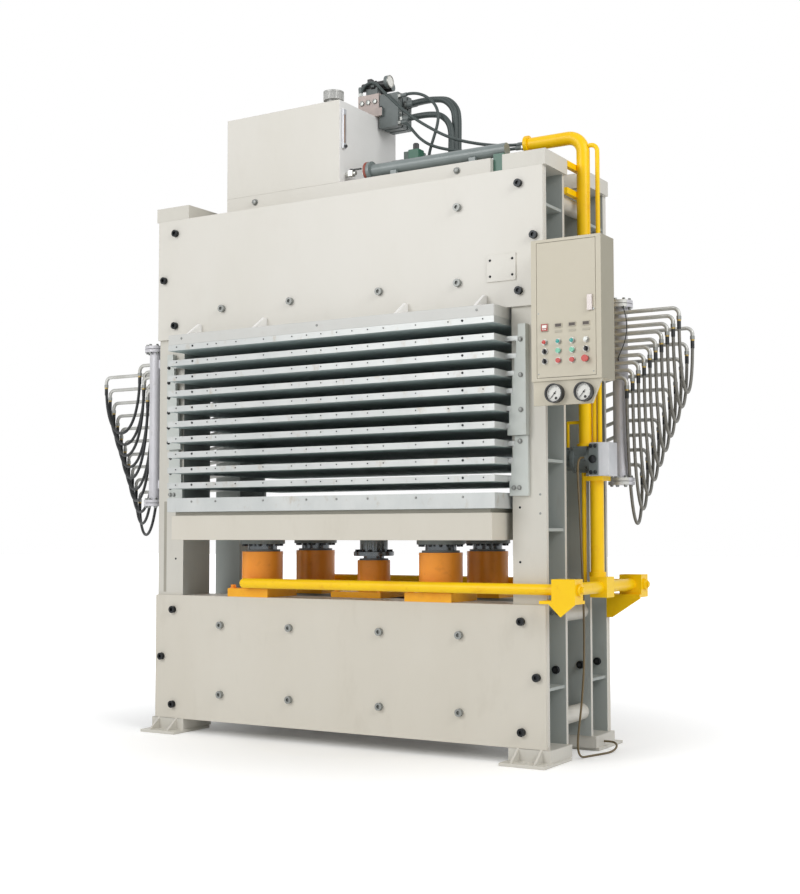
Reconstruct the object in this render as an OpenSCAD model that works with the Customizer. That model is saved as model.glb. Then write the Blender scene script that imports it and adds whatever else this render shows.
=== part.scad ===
// Multi-daylight hydraulic hot press for boards, built from a front and a rear plate frame.
// Origin: middle of the anchor bolt pattern on the floor. X runs right, Y runs back, Z runs up.

/* [Frame] */
// Free space between the end of a platen and a column
window_gap = 20; // [14:1:60]
// Width of one column
column_w = 240; // [210:5:260]
// Depth of the front frame and of the rear frame, without face panels
frame_d = 302; // [290:2:340]
// Free space between the two frames
frame_gap = 360; // [330:5:420]
// Thickness of the column plates
plate_t = 30; // [20:1:40]
// Thickness of the inner web of a column
web_t = 20; // [12:1:30]
// Thickness of a column stiffener
stiffener_t = 20; // [12:1:30]
// Thickness of the bolted face panels
panel_t = 23; // [16:1:30]
// Height of the lower beams
lower_beam_h = 902; // [880:2:1000]
// Height of the upper beams
upper_beam_h = 900; // [840:5:1000]
// Height of a column cap
cap_h = 103; // [60:1:140]
// Diameter of the tie tubes between the frames
tie_d = 110; // [80:1:130]

/* [Feet] */
// Height of a foot from the floor to the frame
foot_h = 100; // [80:1:140]
// Thickness of a foot's floor plate
foot_plate_t = 20; // [12:1:30]
// Length of the toe that stands out from the frame
foot_toe = 115; // [90:1:160]
// Diameter of an anchor bolt hole
anchor_d = 28; // [20:1:40]

/* [Bolts] */
// Head diameter of the socket bolts in the face panels
bolt_head_d = 52; // [40:1:60]
// Head height of these bolts
bolt_head_h = 26; // [16:1:36]
// Shank diameter of these bolts
bolt_d = 30; // [20:1:36]

/* [Platens] */
// Length of a hot platen
platen_l = 2700; // [2560:5:2900]
// Width of a hot platen
platen_w = 1370; // [1320:5:1400]
// Thickness of a hot platen
platen_t = 42; // [38:1:50]
// Open height between two platens
daylight = 70; // [60:1:80]
// Thickness of the bottom platen
bottom_platen_h = 100; // [80:1:130]
// Height of the carrier above the top platen
carrier_h = 75; // [60:1:100]
// Thickness of a step ladder plate
ladder_t = 25; // [20:1:32]
// Width of one step on a ladder
step_run = 13; // [10:1:15]
// Height of a platen lug
lug_h = 30; // [20:1:36]

/* [Table] */
// Open height between the lower beam and the table
table_clear = 408; // [390:2:460]
// Length of the table
table_l = 2640; // [2500:10:2760]
// Width of the table
table_w = 1340; // [1280:10:1360]
// Height of the table
table_h = 175; // [150:1:220]
// Height of the neck between the table and its platen
neck_h = 27; // [15:1:40]

/* [Cylinders] */
// Distance of the main cylinders from the middle
cylinder_x = 750; // [700:5:800]
// Diameter of a main cylinder above the beam
barrel_d = 295; // [285:1:300]
// Height of a main cylinder above the beam
barrel_h = 323; // [300:1:340]
// Diameter of a main cylinder inside the beam
body_d = 268; // [260:1:276]
// Diameter of a main plunger
plunger_d = 210; // [190:1:220]
// Height of the base flange of a cylinder
flange_h = 60; // [40:1:70]
// Diameter of the lift cylinder
lift_d = 237; // [220:1:250]
// Diameter of the lift cylinder's rod
lift_rod_d = 150; // [130:1:170]

/* [Pressure pipes] */
// Diameter of the feed pipes at the cylinders
feed_d = 70; // [60:1:76]
// Height of the feed pipes above the lower beam
feed_rise = 100; // [96:1:110]
// Diameter of the main riser
riser_d = 90; // [76:1:96]
// Diameter of the pilot pipes
pilot_d = 30; // [20:1:34]
// Edge length of a manifold block
block_s = 134; // [120:1:140]

/* [Heating] */
// Diameter of a heating header
header_d = 104; // [90:1:110]
// Diameter of a heating pipe
heat_d = 27; // [22:1:29]
// Diameter of a heating hose
hose_d = 24; // [18:1:26]
// Bend radius of a heating pipe
heat_bend = 45; // [35:1:50]

/* [Power unit] */
// Height of the channel frame under the tank
base_h = 160; // [120:1:180]
// Length of the oil tank
tank_l = 1025; // [950:5:1050]
// Depth of the oil tank
tank_d = 760; // [700:5:765]
// Height of the oil tank
tank_h = 603; // [560:1:640]
// Diameter of the pump motor
motor_d = 250; // [220:2:270]
// Diameter of the return pipe
return_d = 90; // [70:1:100]

/* [Control cabinet] */
// Width of the control cabinet
cabinet_w = 470; // [450:2:540]
// Depth of the control cabinet
cabinet_d = 200; // [160:2:240]
// Height of the control cabinet
cabinet_h = 880; // [860:2:960]
// Thickness of the cabinet's sheet
cabinet_t = 6; // [4:1:10]
// Thickness of the cabinet's door
door_t = 20; // [16:1:24]
// Diameter of a pressure gauge
gauge_d = 118; // [100:1:126]
// Diameter of a push button
button_d = 30; // [24:1:34]

/* [Hidden] */
$fn = 32;

// Paint colours
paint_grey = "#d9d7d0";
paint_yellow = "#f2c21b";
paint_orange = "#e0902c";
paint_beige = "#cdc7b3";
steel_dark = "#3c4044";
steel_light = "#c9cbcc";

// Number of loose platens, and how many of them the lower ladder carries
platens = 9;
low_group = 3;
// Running clearance between moving pieces, and seat clearance round pieces that stay
run_gap = 0.4;
seat_gap = 0.3;

// Frame lines
x_in = max(platen_l, table_l) / 2 + window_gap;
x_out = x_in + column_w;
frame_w = 2 * x_out;
y_in = frame_gap / 2;
y_out = y_in + frame_d;
y_face = y_out + panel_t;
y_cyl = y_in + frame_d / 2;

// Height lines
z_lb = foot_h + lower_beam_h;
z_table = z_lb + table_clear;
z_neck = z_table + table_h;
z_bed = z_neck + neck_h + bottom_platen_h;
pitch = daylight + platen_t;
z_carrier = platen_z(platens + 1) + platen_t;
z_ub = z_carrier + carrier_h;
z_top = z_ub + upper_beam_h;
z_deck = z_top + base_h;
function platen_z(k) = z_bed + k * pitch - platen_t;

// Column details
stiffener_zs = [foot_h + 358, z_lb + 463, z_lb + 905, z_ub - 190, z_ub + 648];
stiffener_set = 12;
cap_in = 50;
cap_over = 20;
cap_back = 10;
foot_over = 30;
foot_lip = 10;
foot_back = 10;
plate_back = 35;
rib_t = 16;
tie_x = x_out - 70;
tie_zs = [foot_h + 161, z_lb - 72, z_ub + 72, z_top - 159];

// Bolt places on the face panels, as [x, height over the panel's lower edge]
light_xs = [375, 990];
light_low = [197, 695];
light_up = [191];
edge_x = x_out - 170;
mid_x = x_out - 62;
dark_low = [[edge_x, 102], [mid_x, 449], [edge_x, 796]];
dark_up = [[edge_x, 100], [mid_x, 449], [edge_x, 797]];
hole_gap = 1;
socket_d = 28;
socket_h = 14;

// Carrier gussets
gusset_in = 155;
gusset_mid = 593;
gusset_h = 90;
gusset_l = 150;
gusset_t = 20;
gusset_end = platen_l / 2 - gusset_in;
gusset_xs = [-gusset_end, -gusset_mid, gusset_mid, gusset_end];

// Step ladders and lugs
lug_rise = 6;
lug_gap = 3;
lug_hold = 2;
ladder_gap = 12;
ladder_out = x_in + 125;
packer_w = 46;
ladder_low = 20;
ladder_split = 40;
ladder_joint = 2;
function ladder_x(k) = platen_l / 2 + ladder_gap + step_run * ((k > low_group ? k - low_group : k) - 1);
function step_z(k) = platen_z(k) + lug_rise;

// Cylinder details
stroke = platens * daylight + daylight - platens - 1;
gland_hold = 60;
shaft_low = z_lb + barrel_h - gland_hold - stroke;
body_low = shaft_low - 40;
base_w = 360;
base_l = 350;
collar_d = 250;
collar_h = 30;
lift_top = z_lb + 260;
lift_base_w = 420;
lift_base_l = frame_gap + 120;
lift_base_h = 40;
lift_low = lift_top - gland_hold - stroke;
lift_collar_z = z_lb + 290;
lift_collar_d = 290;
lift_spacer_d = 200;
guide_h = 60;

// Pipe lines
feed_y = y_face + 35;
feed_z = z_lb + feed_rise;
block_x = x_out + 165;
block_y = feed_y;
block_w = 160;
block_d = 120;
cross_d = 80;
mid_w = 120;
riser_x = x_out + 58;
riser_top = z_top + 298;
riser_bend = 110;
riser_foot_d = riser_d + 26;
riser_foot_h = 20;
riser_end = x_out - 366;
clamp_w = 34;
clamp_x = riser_x - riser_d / 2 + 9 - clamp_w;
valve_z = z_lb + 823;
valve_h = 220;
valve_x = riser_x + riser_foot_d / 2 + 1;
valve_w = 135;
valve_d = 140;
drop_x = valve_x + 18;
prefill_d = 170;
prefill_z = valve_z + valve_h / 2;
prefill_x = x_out - 100;
riser_foot_z = prefill_z + prefill_d / 2 + 2;
prefill_flange = 24;
gland_w = 28;
gland_l = 40;
gland_x = riser_x + 22;
gland_y = prefill_d / 2 + 3;
gland_z = prefill_z + 10;
shelf_t = 20;
pilot_x = valve_x + 43;
pilot_2_x = valve_x + 7;
pilot_bend = 45;
small_d = 22;
small_x = x_out - 70;
small_z = prefill_z + 250;

// Heating lines: each side has a header, and one pipe and hose for the top platen and each loose one
hoses = platens + 1;
header_x = x_out + 180;
header_r_y = 310;
header_l_y = -320;
header_r_z = [z_lb + 774, z_lb + 2023];
header_l_z = [z_lb + 663, z_lb + 1893];
header_flange_d = 178;
header_flange_t = 22;
lane_r_y = 600;
lane_l_y = [-130, 28];
lane_bend_x = x_out + 30;
reach_r = [x_out + 589, -41.8];
reach_l = [x_out + 887, -15.4];
level_r = [platen_z(platens + 1) + 58, -102.5];
level_l = [platen_z(platens + 1) - 76, -102.5];
stub_reach_r = [x_out + 628, -41.3];
stub_reach_l = [x_out + 421, -21];
stub_level_r = [z_lb + 1931, -48.8];
stub_level_l = [z_lb + 1768, -49];
stub_out = header_d / 2 + heat_d / 2 + 8;
stub_row = 30;
stub_rows_r = [for (i = [0 : hoses - 1]) header_r_y - stub_out];
stub_rows_l = [for (i = [0 : hoses - 1]) header_l_y + stub_out + stub_row * (i % 2)];
tail = 30;
sleeve = 2;
ball_set = 4;
hose_drop = 400;
function at(line, i) = line[0] + line[1] * i;

// Power unit lines
base_x = [-1130, 1120];
base_y = [-290, 480];
channel_w = 60;
channel_t = 12;
deck_t = 10;
tank_x = base_x[0];
tank_y = base_y[0];
tank_r = tank_x + tank_l;
tank_top = z_deck + tank_h;
breather = [tank_r - 120, tank_y + 100];
breather_d = 150;
motor_x = tank_r + 105;
motor_l = 330;
motor_y = 300;
motor_z = z_deck + 150;
motor_rise = 60;
bell_d = 190;
bell_l = 60;
pump_l = 240;
pump_w = 240;
pump_h = 130;
stack_y = 180;
stack_d = 240;
stack_x = 185;
stack_back = 165;
stack_low = 90;
stack_high = 165;
stack_top = tank_top + 179;
coil_d = 62;
coil_z = tank_top + 262;
coil_ys = [stack_y + 85, stack_y + 175];
power_d = 45;
power_bend = 170;
power_lanes = [[250, tank_top - 40], [305, tank_top + 88], [360, tank_top + 104]];
return_y = -200;
return_x = [tank_r + 205, base_x[1] + 80];
return_flange = 46;
saddle_h = return_flange / 2 + 1;
return_z = z_deck + saddle_h + return_d / 2;
tap_y = -210;
tap_z = z_deck + 72;
tap_d = 40;
tap_l = 90;

// Cabinet lines
cabinet_x = x_out + 12;
cabinet_back = y_face - 2;
cabinet_front = cabinet_back + cabinet_d;
cabinet_z = z_lb + 1388;
door_edge = 36;
door_gap = 3;
door_x = cabinet_x + door_edge;
door_w = cabinet_w - 2 * door_edge + 2;
door_z = cabinet_z + 18;
door_h = cabinet_h - 36;
door_face = cabinet_front;
arm_h = 50;
arm_zs = [cabinet_z + 120, cabinet_z + cabinet_h - 170];
skirt_h = 150;
skirt_t = 20;
skirt_cut = 70;
gauge_xs = [cabinet_x + 161, cabinet_x + cabinet_w - 114];
gauge_z = cabinet_z - 80;
gauge_h = 44;
needle_back = 16;
needle_in = 17;
control_in = 57;
control_out = 65;
control_pitch = (door_w - control_in - control_out) / 3;
column_xs = [for (i = [0 : 3]) door_x + control_in + control_pitch * i];
row_zs = [cabinet_z + 330, cabinet_z + 239, cabinet_z + 182, cabinet_z + 121];
latch_x = door_x + door_w - 38;
latch_z = cabinet_z + 455;
hinge_x = door_x + door_gap + 8;
hinge_y = -door_face + 5;
pin_d = 8;
pin_out = 13;
button_travel = 6;
button_out = 18;
collar_out = 8;

// Route of the supply cable: from the prefill valve down to the floor and into the rear foot
cable_d = 14;
cable_route = [
    [1690, -88, 1945], [1690, -114, 1945], [1690, -140, 1939], [1690, -161, 1924], [1690, -174, 1902],
    [1690, -179, 1876], [1690, -179, 1845], [1690, -176, 1800], [1690, -169, 1730], [1690, -157, 1620],
    [1690, -142, 1460], [1690, -124, 1250], [1690, -108, 1020], [1690, -102, 790], [1688, -106, 580],
    [1682, -122, 400], [1676, -142, 270], [1671, -158, 180], [1669, -165, 125], [1668, -165, 88],
    [1668, -158, 57], [1669, -142, 30], [1672, -118, 14], [1678, -90, 8], [1690, -48, 8], [1708, 10, 8],
    [1730, 80, 8], [1748, 150, 9], [1757, 200, 15], [1758, 238, 24], [1752, 270, 34], [1737, 297, 43],
    [1714, 315, 50], [1684, 322, 52], [1641, 322, 52]];
cable_sides = 8;

// Routes of the slim hoses from the valve stack: two to the main riser's upper end, one to the deck
slim_d = 22;
slim_routes = [
    [[-255, 215, 4749.2], [-255, 215, 4758], [-243, 215, 4799], [-211, 214, 4831], [-167, 212, 4843],
     [-123, 209, 4831], [-95, 205, 4808], [-40, 191, 4752], [20, 184, 4694], [90, 180, 4627], [157, 176, 4566],
     [275, 168, 4475], [398, 154, 4393], [510, 136, 4326], [637, 114, 4265], [800, 80, 4206], [968, 46, 4158],
     [1110, 18, 4130], [1190, 12, 4122], [1243, 12, 4120]],
    [[80.8, 222, 4500], [105, 221, 4499], [135, 217, 4490], [165, 210, 4470], [195, 202, 4440], [235, 190, 4396],
     [295, 172, 4338], [373, 150, 4283], [460, 126, 4240], [551, 105, 4206], [660, 78, 4172], [790, 42, 4138],
     [930, 10, 4112], [1060, -6, 4097], [1160, -12, 4091], [1243, -12, 4090]],
    [[80.8, 222, 4702], [120, 220, 4704], [180, 213, 4704], [250, 204, 4690], [320, 197, 4658], [385, 193, 4605],
     [424, 191, 4545], [436, 190, 4480], [424, 190, 4410], [400, 190, 4340], [374, 190, 4270], [357, 190, 4205],
     [350, 190, 4140], [350, 190, 4060], [350, 190, 3967.2]]];

// Places a shape in one of the four quarters
module quarter(sx, sy) {
    mirror([sx < 0 ? 1 : 0, 0, 0]) mirror([0, sy < 0 ? 1 : 0, 0]) children();
}

// Plate cut from an outline in the X-Z plane, from y towards +Y
module plate_xz(points, y, t) {
    translate([0, y + t, 0]) rotate([90, 0, 0]) linear_extrude(t) polygon(points);
}

// Plate cut from an outline in the Y-Z plane, from x towards +X
module plate_yz(points, x, t) {
    translate([x, 0, 0]) rotate([90, 0, 90]) linear_extrude(t) polygon(points);
}

// Round bar between two points
module bar(p, q, d) {
    v = q - p;
    l = norm(v);
    translate(p) rotate([0, acos(v[2] / l), atan2(v[1], v[0])]) cylinder(h = l, d = d);
}

// Round bar along X, and along Y
module bar_x(x0, x1, y, z, d) {
    translate([x0, y, z]) rotate([0, 90, 0]) cylinder(h = x1 - x0, d = d);
}
module bar_y(y0, y1, x, z, d) {
    translate([x, y0, z]) rotate([-90, 0, 0]) cylinder(h = y1 - y0, d = d);
}

// Quarter bend that turns a pipe running along +X at its start into one running down
module bend_down(x, y, z, r, d) {
    translate([x, y, z - r]) rotate([90, 0, 0]) rotate_extrude(angle = 90) translate([r, 0]) circle(d = d);
}

// Smooth tube swept along a route
function unit(v) = v / norm(v);
function tangent(r, i) = unit(r[min(i + 1, len(r) - 1)] - r[max(i - 1, 0)]);
function side_of(t) = unit(cross(t, abs(t[2]) > 0.9 ? [0, 1, 0] : [0, 0, 1]));
function carry(t, u) = unit(u - t * (t * u));
function frames(r, i = 0, u = undef) =
    i == len(r) ? [] :
    let (t = tangent(r, i), w = is_undef(u) ? side_of(t) : carry(t, u))
    concat([[t, w]], frames(r, i + 1, w));
module swept_tube(route, d, sides) {
    fr = frames(route);
    rings = [for (i = [0 : len(route) - 1]) for (s = [0 : sides - 1])
        let (u = fr[i][1], w = cross(fr[i][0], u), a = 360 * s / sides)
        route[i] + d / 2 * (cos(a) * u + sin(a) * w)];
    n = len(route);
    walls = [for (i = [0 : n - 2]) for (s = [0 : sides - 1])
        let (a = i * sides + s, b = i * sides + (s + 1) % sides) [a, b, b + sides, a + sides]];
    first = [for (s = [sides - 1 : -1 : 0]) s];
    last = [for (s = [0 : sides - 1]) (n - 1) * sides + s];
    polyhedron(points = rings, faces = [for (f = concat([first], walls, [last])) [for (k = [len(f) - 1 : -1 : 0]) f[k]]]);
}

// Column of one quarter, with its foot, stiffeners and cap
module column() {
    tall = z_top - foot_h;
    difference() {
        union() {
            translate([x_in, y_in, foot_h]) cube([column_w, plate_t, tall]);
            translate([x_in, y_out - plate_t, foot_h]) cube([column_w, plate_t, tall]);
            translate([x_in, y_in, foot_h]) cube([web_t, frame_d, tall]);
            for (z = stiffener_zs)
                translate([x_in, y_in, z]) cube([column_w - stiffener_set, frame_d, stiffener_t]);
            translate([x_in - cap_in, y_in - cap_back, z_top])
                cube([column_w + cap_in + cap_over, y_face - y_in + cap_back, cap_h]);
            foot();
        }
        translate([x_in + column_w / 2, y_face + foot_toe * 0.6, -1]) cylinder(h = foot_plate_t + 2, d = anchor_d);
    }
}

// Welded foot: box, floor plate and two ribs on the toe
module foot() {
    w = column_w + 2 * foot_over;
    translate([x_in - foot_over, y_in + foot_back, foot_plate_t])
        cube([w, y_face - y_in - foot_back, foot_h - foot_plate_t]);
    translate([x_in - foot_over - foot_lip, y_in + plate_back, 0])
        cube([w + 2 * foot_lip, y_face + foot_toe - y_in - plate_back, foot_plate_t]);
    rib = [[y_face - 1, foot_plate_t - 1], [y_face + foot_toe * 0.85, foot_plate_t - 1],
           [y_face + foot_toe * 0.85, foot_plate_t + 4], [y_face, foot_h - 2], [y_face - 1, foot_h - 2]];
    for (x = [x_in - foot_over + w * 0.2, x_in - foot_over + w * 0.8 - rib_t]) plate_yz(rib, x, rib_t);
}

module front_columns() {
    color(paint_grey) for (sx = [-1, 1]) quarter(sx, -1) column();
}

module rear_columns() {
    color(paint_grey) for (sx = [-1, 1]) quarter(sx, 1) column();
}

module lower_beams() {
    color(paint_grey) for (sy = [-1, 1]) quarter(1, sy) difference() {
        translate([-x_in, y_in, foot_h]) cube([2 * x_in, frame_d, lower_beam_h]);
        for (x = [-cylinder_x, cylinder_x])
            translate([x, y_cyl, body_low - seat_gap]) cylinder(h = z_lb - body_low + 1, d = body_d + 2 * seat_gap);
    }
}

module upper_beams() {
    color(paint_grey) for (sy = [-1, 1]) quarter(1, sy)
        translate([-x_in, y_in, z_ub]) cube([2 * x_in, frame_d, upper_beam_h]);
}

// All bolt places on the face panels, as [x, z]
light_bolts = concat(
    [for (sx = [-1, 1]) for (x = light_xs) for (h = light_low) [sx * x, foot_h + h]],
    [for (sx = [-1, 1]) for (x = light_xs) for (h = light_up) [sx * x, z_ub + h]],
    [[light_xs[1], z_top - 206]]);
dark_bolts = concat(
    [for (sx = [-1, 1]) for (b = dark_low) [sx * b[0], foot_h + b[1]]],
    [for (sx = [-1, 1]) for (b = dark_up) [sx * b[0], z_ub + b[1]]]);

// Face panels of one side
module panels() {
    difference() {
        union() {
            translate([-x_out, y_out, foot_h]) cube([frame_w, panel_t, lower_beam_h]);
            translate([-x_out, y_out, z_ub]) cube([frame_w, panel_t, upper_beam_h]);
        }
        for (b = concat(light_bolts, dark_bolts))
            bar_y(y_out - 1, y_face + 1, b[0], b[1], bolt_d + 2 * hole_gap);
    }
}

module front_panels() {
    color(paint_grey) quarter(1, -1) panels();
}

module rear_panels() {
    color(paint_grey) panels();
}

// Socket head bolt through a face panel
module panel_bolt(p) {
    difference() {
        union() {
            bar_y(y_out, y_face, p[0], p[1], bolt_d);
            bar_y(y_face, y_face + bolt_head_h, p[0], p[1], bolt_head_d);
        }
        translate([p[0], y_face + bolt_head_h + 1, p[1]]) rotate([90, 0, 0])
            cylinder(h = socket_h + 1, d = socket_d, $fn = 6);
    }
}

module frame_bolts() {
    color(steel_dark) for (sy = [-1, 1]) quarter(1, sy) for (b = dark_bolts) panel_bolt(b);
}

module panel_bolts() {
    color(steel_light) for (sy = [-1, 1]) quarter(1, sy) for (b = light_bolts) panel_bolt(b);
}

module tie_tubes() {
    color(paint_grey) for (sx = [-1, 1]) for (z = tie_zs) difference() {
        bar_y(-y_in, y_in, sx * tie_x, z, tie_d);
        bar_y(-y_in - 1, y_in + 1, sx * tie_x, z, tie_d - 20);
    }
}

module top_carrier() {
    color(paint_grey) {
        translate([-platen_l / 2, -platen_w / 2, z_carrier]) cube([platen_l, platen_w, carrier_h]);
        for (sy = [-1, 1]) quarter(1, sy) for (x = gusset_xs)
            plate_yz([[y_face, z_ub - 1], [y_face + gusset_l, z_ub - 1], [y_face + gusset_l, z_ub + 6],
                [y_face + 30, z_ub + gusset_h], [y_face, z_ub + gusset_h]], x - gusset_t / 2, gusset_t);
    }
}

// Flat hot platen with its underside at z
module platen_plate(z, t) {
    translate([-platen_l / 2, -platen_w / 2, z]) cube([platen_l, platen_w, t]);
}

// Rigid heating pipes of the platen that hose i feeds: one to the right lane, one to the left lane
module heat_pipe(side, y, from_z, reach, level) {
    quarter(side, 1) {
        p = [platen_l / 2 + 30, y, from_z];
        q = [lane_bend_x, y, level];
        v = ball_set * unit(q - p);
        bar_x(platen_l / 2 + seat_gap, p[0] - ball_set, y, from_z, heat_d);
        translate(p) rotate([0, 0, 90]) sphere(d = heat_d + 6);
        bar(p + v, q - v, heat_d);
        translate(q) rotate([0, 0, 90]) sphere(d = heat_d + 6);
        bar_x(q[0] + ball_set, reach - heat_bend, y, level, heat_d);
        bend_down(reach - heat_bend, y, level, heat_bend, heat_d);
        translate([reach, y, level - heat_bend - tail]) cylinder(h = tail, d = heat_d);
    }
}

module heat_pipes(i, z) {
    heat_pipe(1, lane_r_y, z, at(reach_r, i), at(level_r, i));
    heat_pipe(-1, at(lane_l_y, i), z, at(reach_l, i), at(level_l, i));
}

module top_platen() {
    color(steel_light) {
        platen_plate(platen_z(platens + 1), platen_t);
        heat_pipes(0, platen_z(platens + 1) + platen_t / 2);
    }
}

// One ladder segment with a step for each platen from a to b
module ladder(a, b, z0, z1, y) {
    steps = [for (k = [a : b]) each [[ladder_x(k), step_z(k)], [ladder_x(k) + step_run, step_z(k)]]];
    plate_xz(concat([[ladder_out, z0], [ladder_x(a), z0]], steps,
        [[ladder_x(b) + step_run, z1], [ladder_out, z1]]), y, ladder_t);
}

module step_ladders() {
    split = platen_z(low_group + 1) - ladder_split;
    color(paint_grey) for (sx = [-1, 1]) for (sy = [-1, 1]) quarter(sx, sy) {
        ladder(1, low_group, z_bed - ladder_low, split - ladder_joint, y_out);
        ladder(low_group + 1, platens, split, z_carrier - platen_t, y_out + ladder_t);
        translate([ladder_out - packer_w, y_out, split]) cube([packer_w, ladder_t, z_carrier - platen_t - split]);
    }
}

// Loose platen k: plate, four lugs that rest on the ladders, and its heating pipes
module loose_platen(k) {
    lane_y = y_out + (k > low_group ? ladder_t : 0);
    color(steel_light) {
        platen_plate(platen_z(k), platen_t);
        for (sx = [-1, 1]) for (sy = [-1, 1]) quarter(sx, sy)
            translate([platen_l / 2 - 1, lane_y + lug_gap, step_z(k)])
                cube([ladder_x(k) + step_run - lug_hold - platen_l / 2 + 1, ladder_t - lug_gap - lug_hold, lug_h]);
        heat_pipes(platens + 1 - k, platen_z(k) + platen_t / 2);
    }
}

// Main cylinder of one quarter: base flange, barrel above the beam, body inside it, open bore
module main_cylinder() {
    difference() {
        union() {
            translate([cylinder_x - base_w / 2, y_cyl - base_l / 2, z_lb]) cube([base_w, base_l, flange_h]);
            translate([cylinder_x, y_cyl, z_lb]) cylinder(h = barrel_h, d = barrel_d);
            translate([cylinder_x, y_cyl, body_low]) cylinder(h = z_lb - body_low + 1, d = body_d);
        }
        translate([cylinder_x, y_cyl, shaft_low - 10])
            cylinder(h = z_lb + barrel_h - shaft_low + 11, d = plunger_d + 2 * run_gap);
    }
}

module press_cylinders() {
    color(paint_orange) {
        for (sx = [-1, 1]) for (sy = [-1, 1]) quarter(sx, sy) main_cylinder();
        difference() {
            union() {
                translate([-lift_base_w / 2, -lift_base_l / 2, z_lb]) cube([lift_base_w, lift_base_l, lift_base_h]);
                translate([0, 0, lift_low - 40]) cylinder(h = lift_top - lift_low + 40, d = lift_d);
            }
            translate([0, 0, lift_low - 10]) cylinder(h = lift_top - lift_low + 11, d = lift_rod_d + 2 * run_gap);
        }
    }
}

// Feed pipe of one side: it ends in the far cylinder and has a branch to the near one
module feed_pipe() {
    difference() {
        union() {
            bar_x(-cylinder_x, block_x - block_w / 2, feed_y, feed_z, feed_d);
            translate([-cylinder_x, feed_y, feed_z]) sphere(d = feed_d);
            for (x = [-cylinder_x, cylinder_x]) bar_y(y_cyl, feed_y, x, feed_z, feed_d * 0.8);
        }
        for (x = [-cylinder_x, cylinder_x])
            translate([x, y_cyl, z_lb - 1]) cylinder(h = barrel_h + 2, d = barrel_d + 2 * seat_gap);
        for (x = [-cylinder_x, cylinder_x])
            translate([x - base_w / 2 - seat_gap, y_cyl - base_l / 2, z_lb - 1])
                cube([base_w + 2 * seat_gap, base_l + seat_gap, flange_h + 1 + seat_gap]);
    }
}

module feed_pipes() {
    color(paint_yellow) for (sy = [-1, 1]) quarter(1, sy) feed_pipe();
}

// Manifold beside the frame: three blocks, pipes between them, brackets and the drop pipe
module side_manifold() {
    z0 = feed_z - block_s / 2;
    shelf_w = block_x + block_w / 2 - x_out;
    color(paint_yellow) {
        for (sy = [-1, 1]) quarter(1, sy) {
            translate([block_x - block_w / 2, block_y - block_d / 2, z0]) cube([block_w, block_d, block_s]);
            bar_y(mid_w / 2 - 1, block_y - block_d / 2 + 1, block_x, feed_z, cross_d);
            translate([x_out, y_out - plate_t, z0 - shelf_t])
                cube([shelf_w, block_y + block_d / 2 - y_out + plate_t, shelf_t]);
        }
        translate([block_x - mid_w / 2, -mid_w / 2, z0]) cube([mid_w, mid_w, block_s]);
        translate([drop_x, 0, z0 + block_s - 1]) cylinder(h = valve_z - z0 - block_s + 1, d = riser_d);
        translate([drop_x, 0, z0 + block_s - 1]) cylinder(h = 31, d = riser_d + 22);
        translate([drop_x - 70, -65, valve_z - 30]) cube([140, 130, 30]);
        plate_xz([[block_x - block_w / 2 - 20, z0 - shelf_t + 1], [block_x + block_w / 2, z0 - shelf_t + 1],
            [block_x - 20, z0 - shelf_t - 78]], -block_y - block_d / 2, 16);
        plate_xz([[x_out, z0 - shelf_t + 1], [x_out + shelf_w, z0 - shelf_t + 1], [x_out + shelf_w, z0 - shelf_t - 8],
            [x_out + 40, z0 - shelf_t - 140], [x_out, z0 - shelf_t - 140]], y_out - plate_t, plate_t / 2);
    }
}

// Main riser from the prefill valve up and over to the power unit
module main_riser() {
    color(paint_yellow) {
        translate([riser_x, 0, riser_foot_z]) cylinder(h = riser_top - riser_bend - riser_foot_z, d = riser_d);
        translate([riser_x, 0, riser_foot_z]) cylinder(h = riser_foot_h, d = riser_foot_d);
        bend_down(riser_x - riser_bend, 0, riser_top, riser_bend, riser_d);
        bar_x(riser_end, riser_x - riser_bend, 0, riser_top, riser_d);
        bar_x(riser_end, riser_end + 26, 0, riser_top, riser_d + 36);
        for (c = [[z_top + 60, y_in - cap_back], [z_top - 120, y_in]])
            translate([clamp_x, -c[1], c[0]]) cube([clamp_w, 2 * c[1], 40]);
    }
}

// Pilot pipes round the valve block
module pilot_pipes() {
    top = riser_top - 70;
    low = feed_z;
    color(paint_yellow) {
        translate([pilot_x, 0, valve_z + valve_h]) cylinder(h = top - pilot_bend - valve_z - valve_h, d = pilot_d);
        bend_down(pilot_x - pilot_bend, 0, top, pilot_bend, pilot_d);
        pilot_end(top, pilot_x - pilot_bend);
        translate([pilot_2_x, 0, valve_z + valve_h]) cylinder(h = 760, d = pilot_d);
        translate([small_x, 0, prefill_z + prefill_d / 2]) cylinder(h = small_z - prefill_z - prefill_d / 2, d = small_d);
        translate([small_x, 0, small_z]) sphere(d = small_d);
        pilot_end(small_z, small_x, small_d);
        translate([riser_x - 15, 0, low + pilot_bend])
            cylinder(h = prefill_z - prefill_d / 2 - low - pilot_bend, d = pilot_d);
        translate([riser_x - 15, 0, low]) mirror([0, 0, 1]) mirror([1, 0, 0]) translate([0, 0, 0])
            bend_down(-pilot_bend, 0, 0, pilot_bend, pilot_d);
        bar_x(riser_x - 15 + pilot_bend, block_x - mid_w / 2, 0, low, pilot_d);
    }
}

// Level run of a pilot pipe that ends at the main riser's wall
module pilot_end(z, x, d = pilot_d) {
    difference() {
        bar_x(min(x, riser_x), max(x, riser_x), 0, z, d);
        translate([riser_x, 0, z - d]) cylinder(h = 2 * d, d = riser_d + 2 * seat_gap);
    }
}

module valve_block() {
    color("#c4c6c9") translate([valve_x, -valve_d / 2, valve_z]) cube([valve_w, valve_d, valve_h]);
}

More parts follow.
